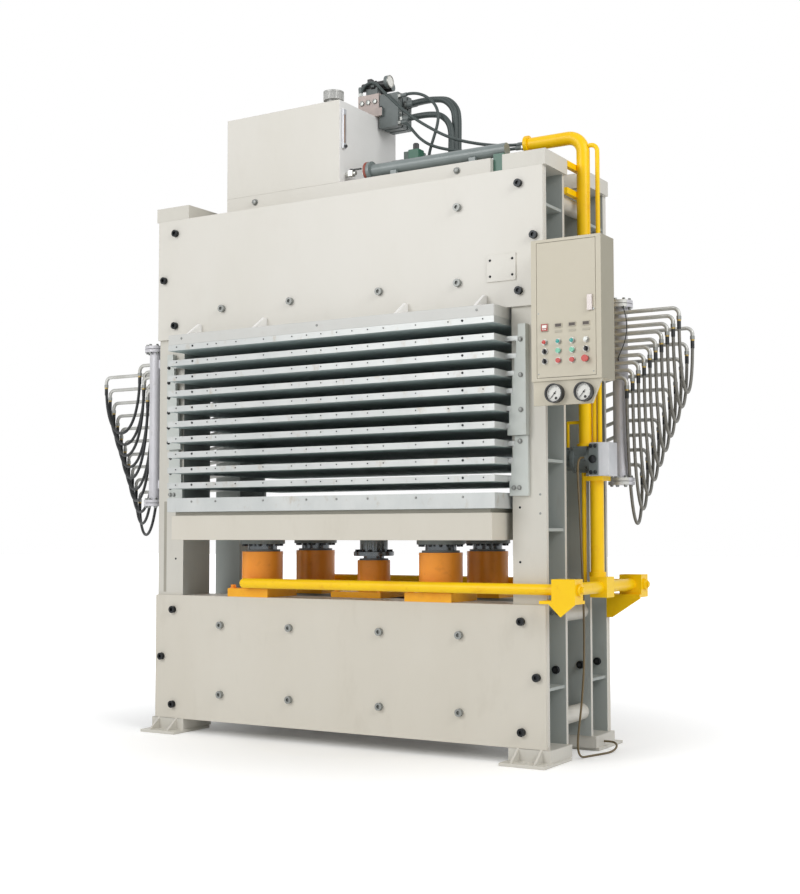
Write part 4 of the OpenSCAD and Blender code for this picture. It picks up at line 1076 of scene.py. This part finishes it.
@dataclass
class Heating(Assembly):
    """Headers, platen pipes and the looped hoses."""

    count: int = 10
    tail: float = 75.0
    drop: float = 525.0
    left_rise: float = 10.0
    lean: float = 0.95
    steps: int = 48
    stub_x: float = 1770.0
    stub_right_y: float = 257.0
    stub_left_y: float = -262.0
    right: Cord = Cord(22.0, Palette.HOSE_RIGHT, 14, "stiff", "hanging", "heating_hoses")
    left: Cord = Cord(22.0, Palette.HOSE_LEFT, 14, "stiff", "hanging", "heating_hoses")
    lead: Cord = Cord(7.0, Palette.LEAD, 10, "medium", "hanging")
    lead_points: tuple[Point, ...] = (
        (1846, 241, 2979), (1856, 218, 2968), (1864, 207, 2945), (1876, 205, 2902), (1882, 205, 2856),
        (1882, 205, 2812), (1876, 205, 2769), (1864, 205, 2725), (1846, 206, 2683), (1826, 211, 2648),
        (1812, 224, 2628), (1804, 240, 2619), (1800, 259, 2616))
    flanges: tuple[Point, ...] = (
        (1790.0, 310.0, 1776.0), (1790.0, 310.0, 2977.0), (-1790.0, -320.0, 1665.0), (-1790.0, -320.0, 2847.0))
    flange_pair: float = 48.0

    def build(self) -> None:
        """Dresses the headers and replaces the rigid hoses by hanging ones."""
        self.dress(
            "steam_headers", Palette.HEADER, 1.5,
            Zone(Palette.STUB, (self.stub_x, 0.0, 0.0), (FAR, self.stub_right_y, FAR)),
            Zone(Palette.STUB, (-FAR, self.stub_left_y, 0.0), (-self.stub_x, 0.0, FAR)))
        for side in (1, -1):
            for i in range(self.count):
                self.hose(side, i)
        self.flange_screws()
        self.lead.run("header_sensor_lead", smooth_path(self.lead_points))

    def ends(self, side: int, i: int) -> tuple[Vector, Vector]:
        """Finds where a hose starts at its header stub and ends at its platen pipe.

        Args:
            side: 1 for right, -1 for left.
            i: Hose number from the top.

        Returns:
            Stub end and pipe end.
        """
        if side > 0:
            stub = Vector((2238.0 - 41.3 * i, 236.5, 2933.0 - 48.8 * i - self.tail))
            pipe = Vector((2199.0 - 41.8 * i, 600.0, 2848.0 - 102.5 * i - self.tail))
        else:
            stub = Vector((-(2031.0 - 21.0 * i), -246.5 + 30.0 * (i % 2), 2770.0 - 49.0 * i - self.tail))
            pipe = Vector((-(2497.0 - 15.4 * i), -130.0 + 28.0 * i, 2714.0 - 102.5 * i - self.tail))
        return stub, pipe

    def route(self, side: int, i: int) -> list[Vector]:
        """Lays a hose in its hanging loop.

        Args:
            side: 1 for right, -1 for left.
            i: Hose number from the top.

        Returns:
            Points along the hose.
        """
        stub, pipe = self.ends(side, i)
        drop = self.drop if side > 0 else self.drop - self.left_rise * i
        a = stub + aim(Axis.DOWN) * (drop + (stub.z - pipe.z) * self.lean)
        b = pipe + aim(Axis.DOWN) * drop
        path = []
        for t in (k / self.steps for k in range(self.steps + 1)):
            path.append(stub * (1 - t) ** 3 + a * 3 * (1 - t) ** 2 * t + b * 3 * (1 - t) * t**2 + pipe * t**3)
        return path

    def hose(self, side: int, i: int) -> None:
        """Builds one hose with its couplings.

        Args:
            side: 1 for right, -1 for left.
            i: Hose number from the top.
        """
        word, kind = ("right", self.right) if side > 0 else ("left", self.left)
        path = self.route(side, i)
        stub, pipe = path[0], path[-1]
        hose = kind.run(f"heating_hose_{word}_{i}", path, None)
        carrier = Body.FRAME.value if i == 0 else f"loose_platen_{self.count - i}"
        if i == 0:
            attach(hose, carrier)
        else:
            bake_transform(hose)
        self.coupling(f"hose_coupling_{word}_{i}_header", stub, Body.FRAME.value)
        self.coupling(f"hose_coupling_{word}_{i}_platen", pipe, carrier)

    def coupling(self, name: str, spot: Vector, body: str) -> None:
        """Adds the nut, ferrule and sleeve where a hose meets a pipe.

        Args:
            name: Name of the piece.
            spot: End of the pipe.
            body: CAD body of the pipe.
        """
        draft = Draft(name)
        steps = (
            (20.0, [(16.5, 0.0), (16.5, 24.0)], Palette.NICKEL, 6),
            (-4.0, [(14.2, 0.0), (14.2, 11.0)], Palette.BRASS, 20),
            (-15.0, [(12.9, 0.0), (13.4, 4.0), (13.4, 46.0), (12.2, 52.0)], Palette.HOSE_LEFT, 20),
        )
        for rise, outline, finish, sides in steps:
            draft.lathe(spot + Vector((0.0, 0.0, rise)), Axis.DOWN, outline, finish, sides)
        draft.piece(body)

    def flange_screws(self) -> None:
        """Adds the screws through the header flanges."""
        draft = Draft("header_flange_screws")
        for x, y, z in self.flanges:
            draft.ring((x, y, z + self.flange_pair), Axis.UP, 71.0, 8, 22.0, 14.0, Palette.NICKEL)
            draft.ring((x, y, z), Axis.DOWN, 71.0, 8, 22.0, 12.0, Palette.NICKEL)
        draft.piece(Body.FRAME)


@dataclass
class PowerUnit(Assembly):
    """Oil tank, motor, pump, valves and hoses on top."""

    tank_right: float = -105.0
    lanes: tuple[Pair, ...] = ((250.0, 4530.0), (305.0, 4658.0), (360.0, 4674.0))
    lane_x: float = 80.0
    bend: float = 170.0
    port_x: float = 510.0
    port_z: float = 4097.0
    thick: Cord = Cord(45.0, Palette.RUBBER, 18, "stiff", "loose", "power_hoses")
    slim: Cord = Cord(22.0, Palette.RUBBER, 18, "stiff", "loose", "power_hoses")
    slim_points: tuple[tuple[Point, ...], ...] = (
        ((-255, 215, 4749.2), (-255, 215, 4758), (-243, 215, 4799), (-211, 214, 4831),
         (-167, 212, 4843), (-123, 209, 4831), (-95, 205, 4808), (-40, 191, 4752), (20, 184, 4694),
         (90, 180, 4627), (157, 176, 4566), (275, 168, 4475), (398, 154, 4393), (510, 136, 4326),
         (637, 114, 4265), (800, 80, 4206), (968, 46, 4158), (1110, 18, 4130), (1190, 12, 4122),
         (1243, 12, 4120)),
        ((80.8, 222, 4500), (105, 221, 4499), (135, 217, 4490), (165, 210, 4470), (195, 202, 4440),
         (235, 190, 4396), (295, 172, 4338), (373, 150, 4283), (460, 126, 4240), (551, 105, 4206),
         (660, 78, 4172), (790, 42, 4138), (930, 10, 4112), (1060, -6, 4097), (1160, -12, 4091),
         (1243, -12, 4090)),
        ((80.8, 222, 4702), (120, 220, 4704), (180, 213, 4704), (250, 204, 4690), (320, 197, 4658),
         (385, 193, 4605), (424, 191, 4545), (436, 190, 4480), (424, 190, 4410), (400, 190, 4340),
         (374, 190, 4270), (357, 190, 4205), (350, 190, 4140), (350, 190, 4060), (350, 190, 3967.2)))
    nut_l: float = 24.0
    return_at: Point = (98.0, -200.0, 4036.0)
    return_t: float = 20.0
    coil_ys: Pair = (265.0, 355.0)
    dial_at: Point = (-27.0, 265.0, 4846.0)

    def build(self) -> None:
        """Dresses the power unit and adds its small pieces."""
        # The tank's right end wall is painted lighter, as the light that falls on it.
        end = Zone(Palette.PAINTED_LIGHT_ENAMEL, (self.tank_right - 1.0, -FAR, 0.0), (self.tank_right + 1.0, FAR, FAR))
        manifold = Zone(Palette.MANIFOLD, (-275.0, 175.0, 4569.0), (-84.0, 425.0, 4750.0))
        coils = Zone(Palette.BLACK, (-275.0, 230.0, 4795.0), (-57.0, 390.0, 4875.0))
        junction = Zone(Palette.JUNCTION, (1120.5, -260.0, 3800.0), (1205.0, -140.0, 4001.0))
        self.dress("tank_base", Palette.PANEL, 2.0)
        self.dress("oil_tank", Palette.PANEL, 3.0, end)
        self.dress("breather_cap", Palette.FILLER, 1.0)
        self.dress("level_gauge", Palette.MACHINED, 1.0)
        self.dress("pump_motor", Palette.MOTOR, 1.0)
        self.dress("oil_pump", Palette.CASTING, 2.0)
        self.dress("valve_stack", Palette.CASTING, 2.0, manifold, coils)
        self.dress("return_pipe", Palette.RETURN, 1.5, junction)
        self.dress("drain_tap", Palette.TAP, 1.0)
        self.dress("tap_lever", Palette.BLACK, 1.0)
        self.tank_details()
        self.hoses()
        self.valve_details()

    def tank_details(self) -> None:
        """Adds the sight glass, two bolts and the return flange's primer."""
        draft = Draft("tank_details").box((-97.0, -256.0, 4258.0), (-88.0, -241.0, 4466.0), Palette.SIGHT)
        knob = [(11.0, 0.0), (11.0, 16.0), (8.0, 18.0)]
        draft.lathe((-85.0, -248.0, 4234.0), Axis.RIGHT, knob, Palette.BLACK, 20)
        for x in (-862.0, 863.0):
            draft.screw((x, -290.0, 3915.0), Axis.FRONT, 40.0, 22.0, Palette.BOLT, 10.0)
        draft.piece(Body.FRAME, 2.0)
        flange = Draft("return_flange")
        x, y, z = self.return_at
        flange.lathe((x, y, z), Axis.LEFT, [(69.0, 0.0), (69.0, self.return_t)], Palette.PRIMER, 32)
        flange.ring((x - self.return_t, y, z), Axis.LEFT, 56.0, 6, 18.0, 10.0, Palette.ZINC)
        flange.piece(Body.FRAME, 1.0)

    def hoses(self) -> None:
        """Builds the thick and slim hoses as smooth cords."""
        x0, turn = self.lane_x, self.port_x - self.bend
        for k, (y, z) in enumerate(self.lanes):
            points = [(x0, y, z), (x0 + 70.0, y, z + 3.0), ((x0 + turn) / 2 + 30.0, y, z + 6.0), (turn, y, z)]
            for a in (math.radians(30.0), math.radians(60.0), math.radians(90.0)):
                points.append((turn + self.bend * math.sin(a), y, z - self.bend * (1.0 - math.cos(a))))
            points += [(self.port_x, y, (z - self.bend + self.port_z) / 2), (self.port_x, y, self.port_z)]
            self.cord(f"power_hose_{k}", points, self.thick)
        for k, route in enumerate(self.slim_points):
            self.cord(f"slim_hose_{k}", route, self.slim)

    def cord(self, name: str, points: Sequence[Point], kind: Cord) -> None:
        """Builds one hose of the power unit with its couplings.

        Args:
            name: Name of the piece.
            points: Points to pass.
            kind: Kind of hose.
        """
        path = smooth_path(points)
        kind.run(name, path)
        ends = Draft(f"{name}_couplings")
        r = kind.diameter / 2
        sleeve = [(r + 4.0, 0.0), (r + 4.0, 42.0), (r + 1.0, 50.0)]
        for spot, following in ((path[0], path[1]), (path[-1], path[-2])):
            way = (following - spot).normalized()
            ends.lathe(spot, way, [(r + 9.0, 0.0), (r + 9.0, self.nut_l)], Palette.NICKEL, 6)
            ends.lathe(spot + way * self.nut_l, way, sleeve, Palette.CASTING, 20)
        ends.piece(Body.FRAME)

    def valve_details(self) -> None:
        """Adds coils, the small gauge and screws on the valve stack, and the coil by the riser."""
        draft = Draft("valve_stack_details")
        for y in self.coil_ys:
            draft.box((-218.0, y - 19.0, 4860.0), (-182.0, y + 19.0, 4888.0), Palette.BLACK)
            draft.lathe((-265.0, y, 4832.0), Axis.LEFT, [(15.0, 0.0), (15.0, 14.0)], Palette.NICKEL, 6)
        draft.lathe(self.dial_at, Axis.RIGHT, [(42.0, 0.0), (42.0, 2.0)], Palette.DIAL, 32)
        draft.band(self.dial_at, Axis.RIGHT, 40.0, 47.0, 7.0, Palette.COLLAR)
        for y in (234.0, 304.0, 374.0):
            for z in (4578.0, 4612.0):
                draft.screw((self.lane_x, y, z), Axis.RIGHT, 20.0, 12.0, Palette.NICKEL)
        for x in (-235.0, -178.0, -118.0):
            plug = [(20.0, 0.0), (20.0, 10.0), (12.0, 12.0)]
            draft.lathe((x, 200.0, 4690.0), Axis.FRONT, plug, Palette.NICKEL, 6)
        for x in (-250.0, -60.0):
            draft.screw((x, 192.0, 4630.0), Axis.UP, 18.0, 12.0, Palette.BLACK_OXIDE)
        draft.piece(Body.FRAME, 1.0)
        coil = Draft("deck_solenoid_valve")
        coil.box((280.0, -10.0, 3967.0), (390.0, 100.0, 4090.0), Palette.CASTING)
        coil.box((292.0, 5.0, 4090.0), (378.0, 85.0, 4215.0), Palette.SOLENOID)
        stem = [(22.0, 0.0), (22.0, 44.0), (16.0, 50.0)]
        coil.lathe((335.0, 45.0, 4215.0), Axis.UP, stem, Palette.BLACK, 20)
        coil.piece(Body.FRAME, 3.0)


@dataclass
class ControlStation(Assembly):
    """Cabinet, door, gauges, meters and buttons."""

    x: float = 1622.0
    z: float = 2390.0
    face: float = -703.0
    width: float = 469.0
    gauge_xs: Pair = (1783.0, 1978.0)
    gauge_z: float = 2310.0
    gauge_seat: float = -713.0
    card_t: float = 0.8
    marks: int = 28
    mark_deg: Pair = (225.0, 10.0)
    column: Pair = (93.0, 92.7)
    rows: Pair = (330.0, 239.0)
    door_screws: tuple[Pair, ...] = ((1671.0, 2810.0), (1671.0, 2433.0), (2040.0, 2433.0))
    door_lock: Pair = (2040.0, 2812.0)

    def build(self) -> None:
        """Dresses the cabinet and adds dials, windows and lamps."""
        # The cabinet's right wall is painted darker, as the shade on the side turned from the light.
        wall = Zone(Palette.CABINET_SHADE, low=(self.x + self.width, -FAR, 0.0))
        frames = Zone(Palette.STRIP, (0.0, -FAR, self.z + 280.0), (FAR, 0.0, self.z + 380.0))
        self.dress("control_cabinet", Palette.CABINET, 2.0, wall)
        self.dress("cabinet_door", Palette.CABINET, 2.0)
        self.dress("door_latch", Palette.LATCH, 2.0)
        self.dress("pressure_gauges", Palette.BLACK, 1.0)
        self.dress("gauge_needle_1 gauge_needle_2", Palette.INK)
        self.dress("door_meters", Palette.COLLAR, 0.6, frames)
        self.dress("selector_1 selector_2 selector_3", Palette.BLACK, 0.8)
        self.dress("start_button_1 start_button_2", Palette.GREEN, 1.0)
        self.dress("stop_button_1 stop_button_2 emergency_stop", Palette.RED, 1.0)
        self.dials()
        self.door_face()

    def dials(self) -> None:
        """Adds the dial cards with their marks."""
        first, step = self.mark_deg
        y = self.gauge_seat - self.card_t
        for k, x in enumerate(self.gauge_xs, start=1):
            card = Draft(f"gauge_dial_{k}")
            disc = [(51.5, 0.0), (51.5, self.card_t)]
            card.lathe((x, self.gauge_seat, self.gauge_z), Axis.FRONT, disc, Palette.DIAL, 48)
            for n in range(self.marks):
                inner, width = (38.0, 1.6) if n % 3 == 0 else (42.0, 0.9)
                angle = math.radians(first - step * n)
                self.mark(card, Vector((x, y, self.gauge_z)), angle, (inner, 47.0), width)
            hub = (x + 9.0, y, self.gauge_z - 30.0)
            card.lathe(hub, Axis.FRONT, [(9.0, 0.0), (9.0, 0.4)], Palette.INK, 24)
            card.piece(Body.FRAME)

    def mark(self, card: Draft, centre: Vector, a: float, reach: Pair, width: float) -> None:
        """Adds one mark on a dial.

        Args:
            card: Draft of the dial.
            centre: Centre of the dial's face.
            a: Angle of the mark.
            reach: Inner and outer radius.
            width: Width of the mark.
        """
        way = Vector((math.cos(a), 0.0, math.sin(a)))
        side = Vector((-math.sin(a), 0.0, math.cos(a))) * width / 2
        inner, outer = reach
        near = [centre + way * r + side * s for r, s in ((inner, -1), (outer, -1), (outer, 1), (inner, 1))]
        card.skin([near, [p + Vector((0.0, -0.3, 0.0)) for p in near]], Palette.INK)

    def door_face(self) -> None:
        """Adds the meter card, display windows, lamp lenses and screws on the door."""
        columns = [self.x + self.column[0] + self.column[1] * i for i in range(4)]
        top, lamps = (self.z + rise for rise in self.rows)
        draft = Draft("door_windows")
        y, x0 = self.face, columns[0]
        draft.box((x0 - 22.0, y - 9.5, top - 22.0), (x0 + 22.0, y - 8.0, top + 22.0), Palette.METER)
        draft.box((x0 - 15.0, y - 10.0, top - 4.0), (x0 + 15.0, y - 9.5, top + 15.0), Palette.DIAL)
        for x in (x0 - 9.0, x0, x0 + 9.0):
            draft.box((x - 3.0, y - 10.0, top - 15.0), (x + 3.0, y - 9.5, top - 9.0), Palette.DIAL)
        for x in columns[1:]:
            draft.box((x - 20.0, y - 7.0, top), (x + 20.0, y - 6.0, top + 18.0), Palette.DISPLAY)
        lenses = (Palette.LENS_RED, Palette.LENS_GREEN, Palette.LENS_GREEN, Palette.LENS_WHITE)
        for x, lens in zip(columns, lenses):
            draft.lathe((x, y - 18.0, lamps), Axis.FRONT, [(13.0, 0.0), (12.0, 4.0), (7.0, 7.0)], lens, 24)
        for x, z in self.door_screws:
            draft.lathe((x, y, z), Axis.FRONT, [(5.0, 0.0), (4.0, 2.0)], Palette.NICKEL, 12)
        x, z = self.door_lock
        draft.lathe((x, y, z), Axis.FRONT, [(8.0, 0.0), (8.0, 3.0), (3.0, 3.4)], Palette.NICKEL, 16)
        draft.piece(Body.DOOR, 0.5)


@dataclass
class SupplyCable:
    """Free cable at the press's right side."""

    kind: Cord = Cord(14.0, Palette.SHEATH, 14, "medium", "loose", "supply_cable")
    route: tuple[Point, ...] = (
        (1690, -88, 1945), (1690, -114, 1945), (1690, -140, 1939), (1690, -161, 1924), (1690, -174, 1902),
        (1690, -179, 1876), (1690, -179, 1845), (1690, -176, 1800), (1690, -169, 1730), (1690, -157, 1620),
        (1690, -142, 1460), (1690, -124, 1250), (1690, -108, 1020), (1690, -102, 790), (1688, -106, 580),
        (1682, -122, 400), (1676, -142, 270), (1671, -158, 180), (1669, -165, 125), (1668, -165, 88),
        (1668, -158, 57), (1669, -142, 30), (1672, -118, 14), (1678, -90, 8), (1690, -48, 8), (1708, 10, 8),
        (1730, 80, 8), (1748, 150, 9), (1757, 200, 15), (1758, 238, 24), (1752, 270, 34), (1737, 297, 43),
        (1714, 315, 50), (1684, 322, 52), (1641, 322, 52))

    def build(self) -> None:
        """Builds the supply cable."""
        self.kind.run("supply_cable_smooth", smooth_path(self.route))


@dataclass
class Studio:
    """Camera, floor and light."""

    camera_at: Point = (5346.8, -8221.9, 1475.3)
    yaw: float = 0.531
    pitch: float = 0.055
    roll: float = 0.003
    sensor_mm: float = 36.0
    lens_mm: float = 54.66
    sight_m: float = 200.0
    shift: Pair = (-0.04, 0.0094)
    floor_m: float = 120.0
    floor_t: Pair = (-40.0, -0.5)
    sky: float = 0.5
    floor_lift: Pair = (0.04, 0.85)
    fade_m: Pair = (0.8, 5.0)

    def build(self) -> None:
        """Sets up camera, floor, world and lamps."""
        self.camera()
        self.floor()
        self.world()
        self.lamp("key_softbox", (-3500.0, -10500.0, 7000.0), (0.0, 0.0, 2000.0), 6000.0, 565.0)
        self.lamp("side_softbox", (10500.0, -3500.0, 8500.0), (300.0, 0.0, 3000.0), 5000.0, 560.0)

    def camera(self) -> None:
        """Places the camera that took the photo."""
        level = math.cos(self.pitch)
        forward = Vector((-math.sin(self.yaw) * level, math.cos(self.yaw) * level, math.sin(self.pitch)))
        right = Vector((math.cos(self.yaw), math.sin(self.yaw), 0.0))
        up = right.cross(forward)
        turn = Quaternion(forward, self.roll)
        right, up = turn @ right, turn @ up
        data = bpy.data.cameras.new("camera")
        data.sensor_width = self.sensor_mm
        data.lens = self.lens_mm
        data.shift_x, data.shift_y = self.shift
        data.clip_end = self.sight_m
        thing = bpy.data.objects.new("camera", data)
        bpy.context.scene.collection.objects.link(thing)
        rows = Matrix((right, up, -forward)).transposed().to_4x4()
        thing.matrix_world = Matrix.Translation(Vector(self.camera_at) * MM) @ rows
        bpy.context.scene.camera = thing

    def floor(self) -> None:
        """Lays the pale floor, which shows white to the camera and keeps the shadow of the press."""
        half = self.floor_m / 2 / MM
        low, high = self.floor_t
        thing = Draft("studio_floor").box((-half, -half, low), (half, half, high), Palette.FLOOR).piece(None)
        tree = thing.data.materials[0].node_tree
        shader = next(node for node in tree.nodes if node.type == "BSDF_PRINCIPLED")
        place = add_node(tree, "TexCoord")
        reach = add_node(tree, "VectorMath", {0: place.outputs["Object"]}, operation="LENGTH")
        fade = add_node(
            tree, "MapRange",
            {"Value": reach.outputs["Value"], "From Min": self.fade_m[0], "From Max": self.fade_m[1],
             "To Min": self.floor_lift[0], "To Max": self.floor_lift[1]})
        lift = add_node(tree, "Math", {0: self.seen(tree), 1: fade.outputs["Result"]}, operation="MULTIPLY")
        shader.inputs["Emission Color"].default_value = linear("#ffffff")
        tree.links.new(lift.outputs["Value"], shader.inputs["Emission Strength"])

    def seen(self, tree: bpy.types.NodeTree) -> bpy.types.NodeSocket:
        """Tells rays of the camera, of gloss and of glass from rays that carry light.

        Args:
            tree: Node tree that gets the nodes.

        Returns:
            Socket that is one on rays that show the background.
        """
        rays = add_node(tree, "LightPath").outputs
        shown = rays["Is Camera Ray"]
        for name in ("Is Glossy Ray", "Is Transmission Ray"):
            shown = add_node(tree, "Math", {0: shown, 1: rays[name]}, operation="MAXIMUM").outputs["Value"]
        return shown

    def world(self) -> None:
        """Makes the background white where it is seen and a soft light elsewhere."""
        world = bpy.data.worlds.new("studio")
        bpy.context.scene.world = world
        world.use_nodes = True
        tree = world.node_tree
        tree.nodes.clear()
        white = add_node(tree, "Background", {"Color": linear("#ffffff"), "Strength": 1.0})
        soft = add_node(tree, "Background", {"Color": linear("#f7f8fa"), "Strength": self.sky})
        mix = add_node(
            tree, "MixShader",
            {0: self.seen(tree), 1: soft.outputs["Background"], 2: white.outputs["Background"]})
        add_node(tree, "OutputWorld", {"Surface": mix.outputs["Shader"]})

    def lamp(self, name: str, spot: Point, target: Point, size: float, power: float) -> None:
        """Adds a softbox.

        Args:
            name: Name of the lamp.
            spot: Its place.
            target: Point that it faces.
            size: Edge length.
            power: Power in watts.
        """
        data = bpy.data.lights.new(name, "AREA")
        data.shape = "SQUARE"
        data.size = size * MM
        data.energy = power
        thing = bpy.data.objects.new(name, data)
        bpy.context.scene.collection.objects.link(thing)
        turn = (Vector(target) - Vector(spot)).normalized().to_track_quat("-Z", "Y")
        thing.matrix_world = Matrix.Translation(Vector(spot) * MM) @ turn.to_matrix().to_4x4()


def main(nodes: dict[str, bpy.types.Object]) -> None:
    """Builds the whole scene.

    Args:
        nodes: CAD nodes by name.
    """
    dressed = (FrameAssembly, PlatenStack, Hydraulics, Heating, PowerUnit, ControlStation)
    for part in (*(kind(nodes) for kind in dressed), SupplyCable(), Studio()):
        LOG.info("building %s", type(part).__name__)
        part.build()
    bpy.context.scene.view_settings.view_transform = "Standard"


if __name__ == "__main__":
    logging.basicConfig(level=logging.INFO, format="%(name)s %(message)s")
    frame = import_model()
    main(frame["nodes"])
